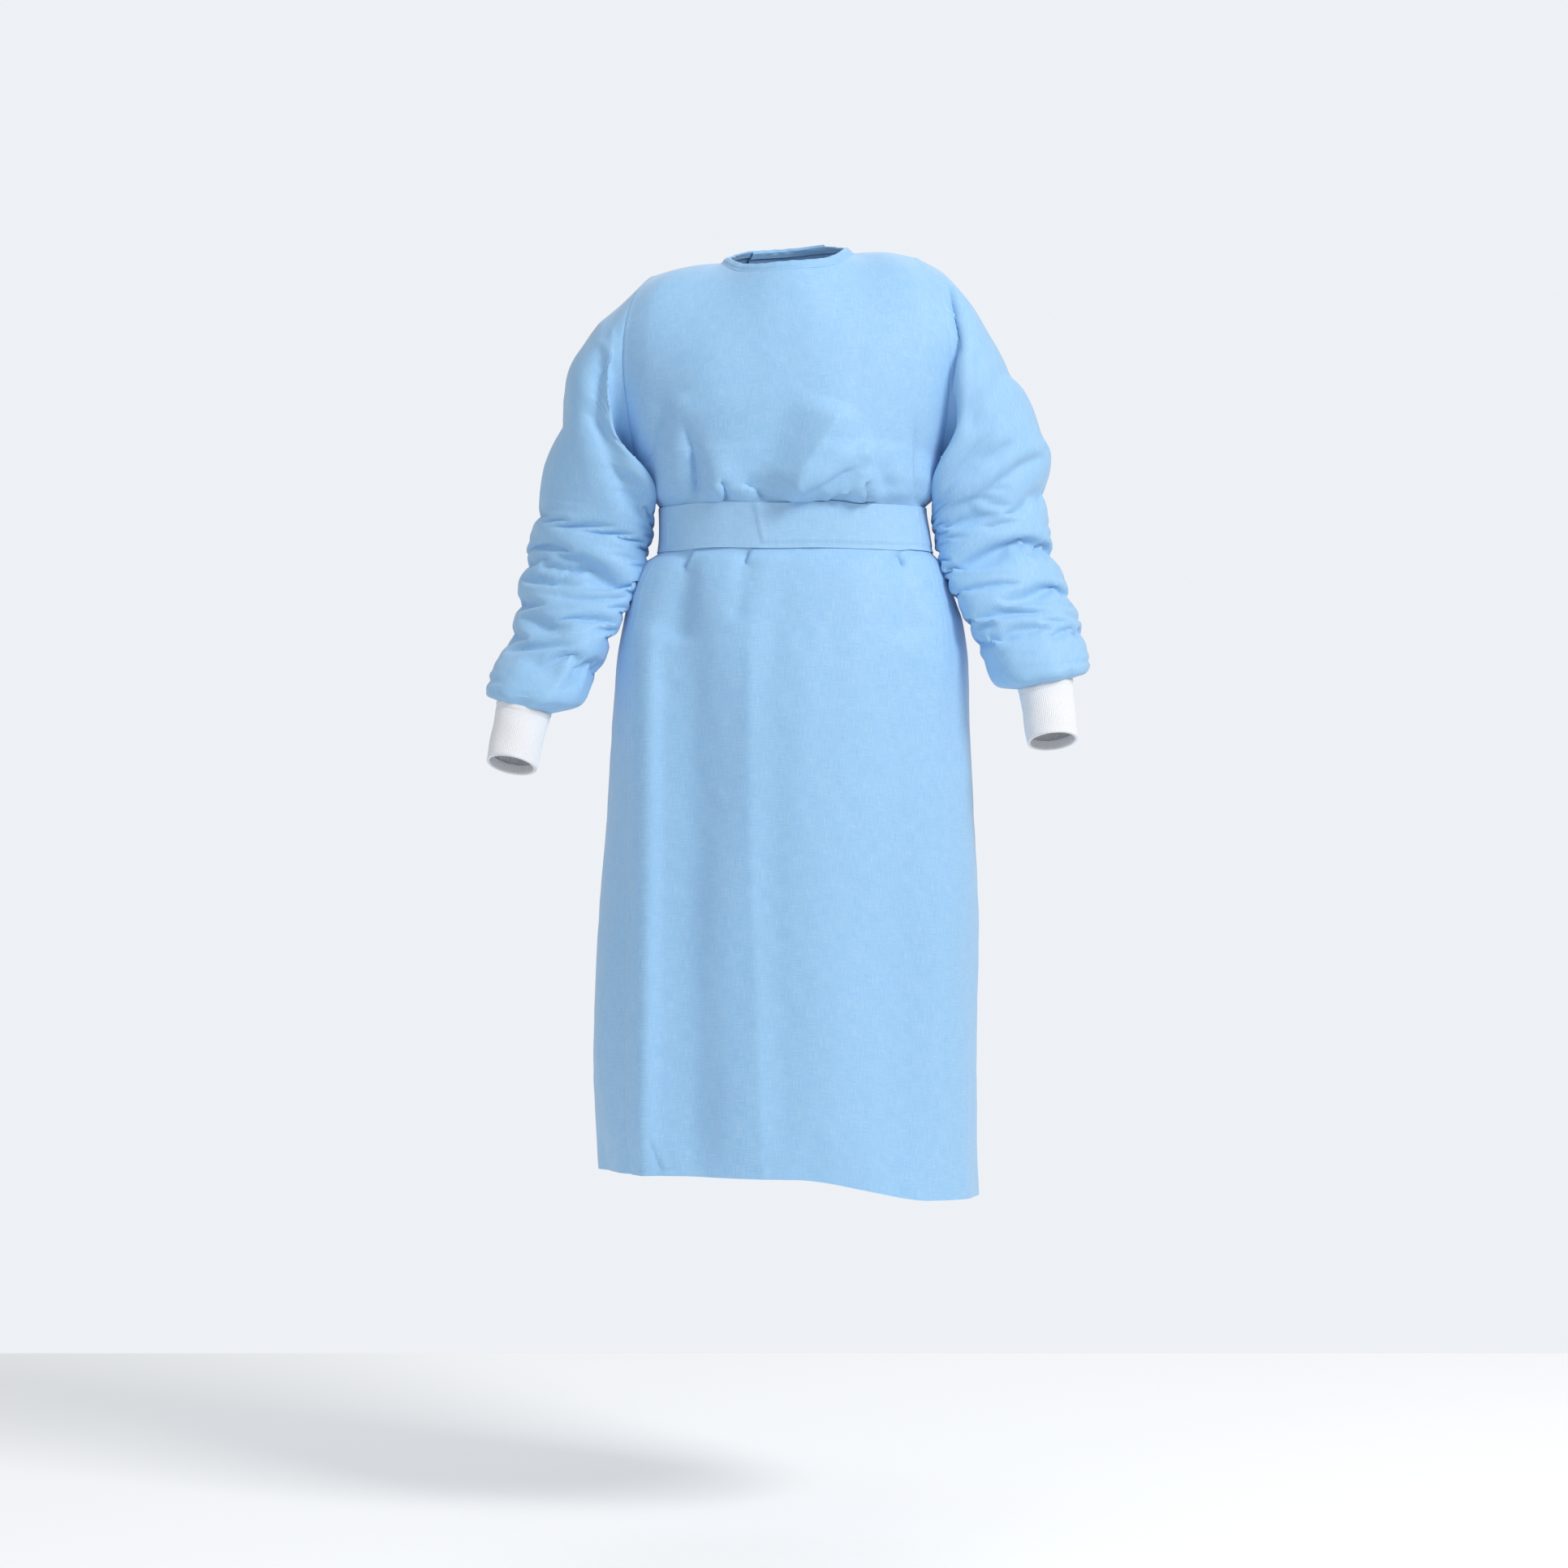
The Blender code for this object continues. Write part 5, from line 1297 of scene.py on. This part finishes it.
# %% [markdown]
# ## Knot and tails
# The ends of the belt are tied at the back. The knot is a small bundle of folds drawn in by one
# upright turn of the band, and the two tails hang down from under it along the skirt.

# %% Knot
KNOT_WAYS, KNOT_LEVELS, KNOT_FOLDS, KNOT_LAY = 128, 72, 7.0, 0.16
TURN_HALF, TURN_LEAN, TURN_EDGE, TURN_REACH = 0.34, 0.10, 0.08, 0.92        # the upright turn of the band
LOBE_FOLD, TURN_FOLD, KNOT_CRUMPLE = 0.085, 0.035, 0.03
WAIST_DEPTH, WAIST_WIDTH, KNOT_FILL = 0.30, 0.42, 0.96


def knot():
    """The knot's mesh: two gathered lobes and the turn that holds them."""
    low, high = (np.array(corner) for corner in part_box("belt_knot"))
    centre, half_size = (low + high) / 2.0, (high - low) / 2.0
    mesh = bpy.data.meshes.new("belt_knot_cloth")
    work = bmesh.new()
    work.loops.layers.uv.new(LAY)
    bmesh.ops.create_uvsphere(work, u_segments=KNOT_WAYS, v_segments=KNOT_LEVELS, radius=1.0, calc_uvs=True)
    work.to_mesh(mesh)
    work.free()
    places = np.empty(len(mesh.vertices) * 3)
    mesh.vertices.foreach_get("co", places)
    places = places.reshape(-1, 3)
    x, y, z = places.T
    spin = np.arctan2(z, y)
    band = smooth((TURN_HALF - np.abs(x + TURN_LEAN * z)) / TURN_EDGE)
    lobes = LOBE_FOLD * np.cos(KNOT_FOLDS * spin + 1.6 * x + 0.8 * np.sin(3.0 * spin))
    lobes = lobes * smooth(1.3 - np.abs(x))
    turn_folds = TURN_FOLD * np.cos(22.0 * (x + TURN_LEAN * z))
    waist = 1.0 - WAIST_DEPTH * bell(x, WAIST_WIDTH)
    turned = (1.0 - band) * (waist + lobes) + band * (TURN_REACH + turn_folds)
    reach = np.where(band > 0, turned, waist + lobes) + KNOT_CRUMPLE * wavelets(places, 51, 0.5)
    shaped = centre + np.stack([x * 0.97, y * reach, z * reach], -1) * half_size * KNOT_FILL
    mesh.vertices.foreach_set("co", shaped.ravel())
    lay = np.empty(len(mesh.uv_layers[LAY].data) * 2)
    mesh.uv_layers[LAY].data.foreach_get("uv", lay)
    mesh.uv_layers[LAY].data.foreach_set("uv", lay * KNOT_LAY)
    mesh.shade_smooth()
    return add_piece("belt_knot_cloth", mesh, belt_cloth, node_name="belt_knot")


knot_piece = knot()
print("knot", len(knot_piece.data.polygons), "faces")

# %% Tails
Tail = namedtuple("Tail", "name column")
TAILS = (Tail("belt_tail_left", 13), Tail("belt_tail_right", 11))
TAIL_HALF, TAIL_ROWS, TAIL_COLUMNS, TAIL_OFF = 0.8, 90, 18, 0.0022
TAIL_CUP, TAIL_CURL, TAIL_SLANT = 0.0007, 0.0008, 0.004


def sample(net, row, column):
    """Points at fractional rows and columns of a net."""
    low, left = np.minimum(row.astype(int), len(net) - 2), np.minimum(column.astype(int), net.shape[1] - 2)
    up, over = (row - low)[..., None], (column - left)[..., None]
    below = net[low, left] * (1 - over) + net[low, left + 1] * over
    above = net[low + 1, left] * (1 - over) + net[low + 1, left + 1] * over
    return below * (1 - up) + above * up


for number, tail in enumerate(TAILS):
    low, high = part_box(tail.name)
    z = np.linspace(low[2] + 0.001, high[2] - 0.0005, TAIL_ROWS)[:, None]
    spread = np.linspace(-TAIL_HALF, TAIL_HALF, TAIL_COLUMNS)[None, :]
    row = row_at(z) + 0.0 * spread
    column = (tail.column + spread) * FINER + 0.0 * z
    tail_out = unit(sample(back_outs[-1], row, column))
    part = (high[2] - z) / (high[2] - low[2])
    off = LAP_RISE + TAIL_OFF + TAIL_CUP * np.cos(2.4 * spread) * part
    tail_net = sample(back_nets[-1], row, column)
    curl = TAIL_CURL * wavelets(tail_net, 61 + number, 0.06) * part
    tail_net = raised(tail_net, tail_out, off + curl)
    tail_net[..., 2] += TAIL_SLANT * spread * part ** 6
    shell(tail.name, tail_net, tail_out, belt_cloth, BELT_THICKNESS)

# %% [markdown]
# ## Neck fastener
# A patch of hook-and-loop tape shuts the neck inside the lap. Its solid already has the right
# shape, so it only gets a finish: white tape with rows of tiny hooks.

# %% Fastener
hook_tape, tree, shader = new_finish("hook_tape", 0.7, 0.3)
hooks = node(tree, "ShaderNodeTexVoronoi", Scale=900.0)
tree.links.new(node(tree, "ShaderNodeTexCoord").outputs["Object"], hooks.inputs["Vector"])
colour_by(tree, shader, hooks.outputs["Distance"], (0.0, (0.88, 0.89, 0.90)), (1.0, (0.70, 0.72, 0.75)))
raise_by(tree, shader, hooks.outputs["Distance"], 0.6, 0.0005)
for material_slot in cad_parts["neck_fastener"].material_slots:
    material_slot.material = hook_tape
print("fastener finished")

# %% [markdown]
# ## The cut

# %% Sheets
print("cloth pieces made")

# %% [markdown]
# ## Done

# %% Sizes
print("gown built")
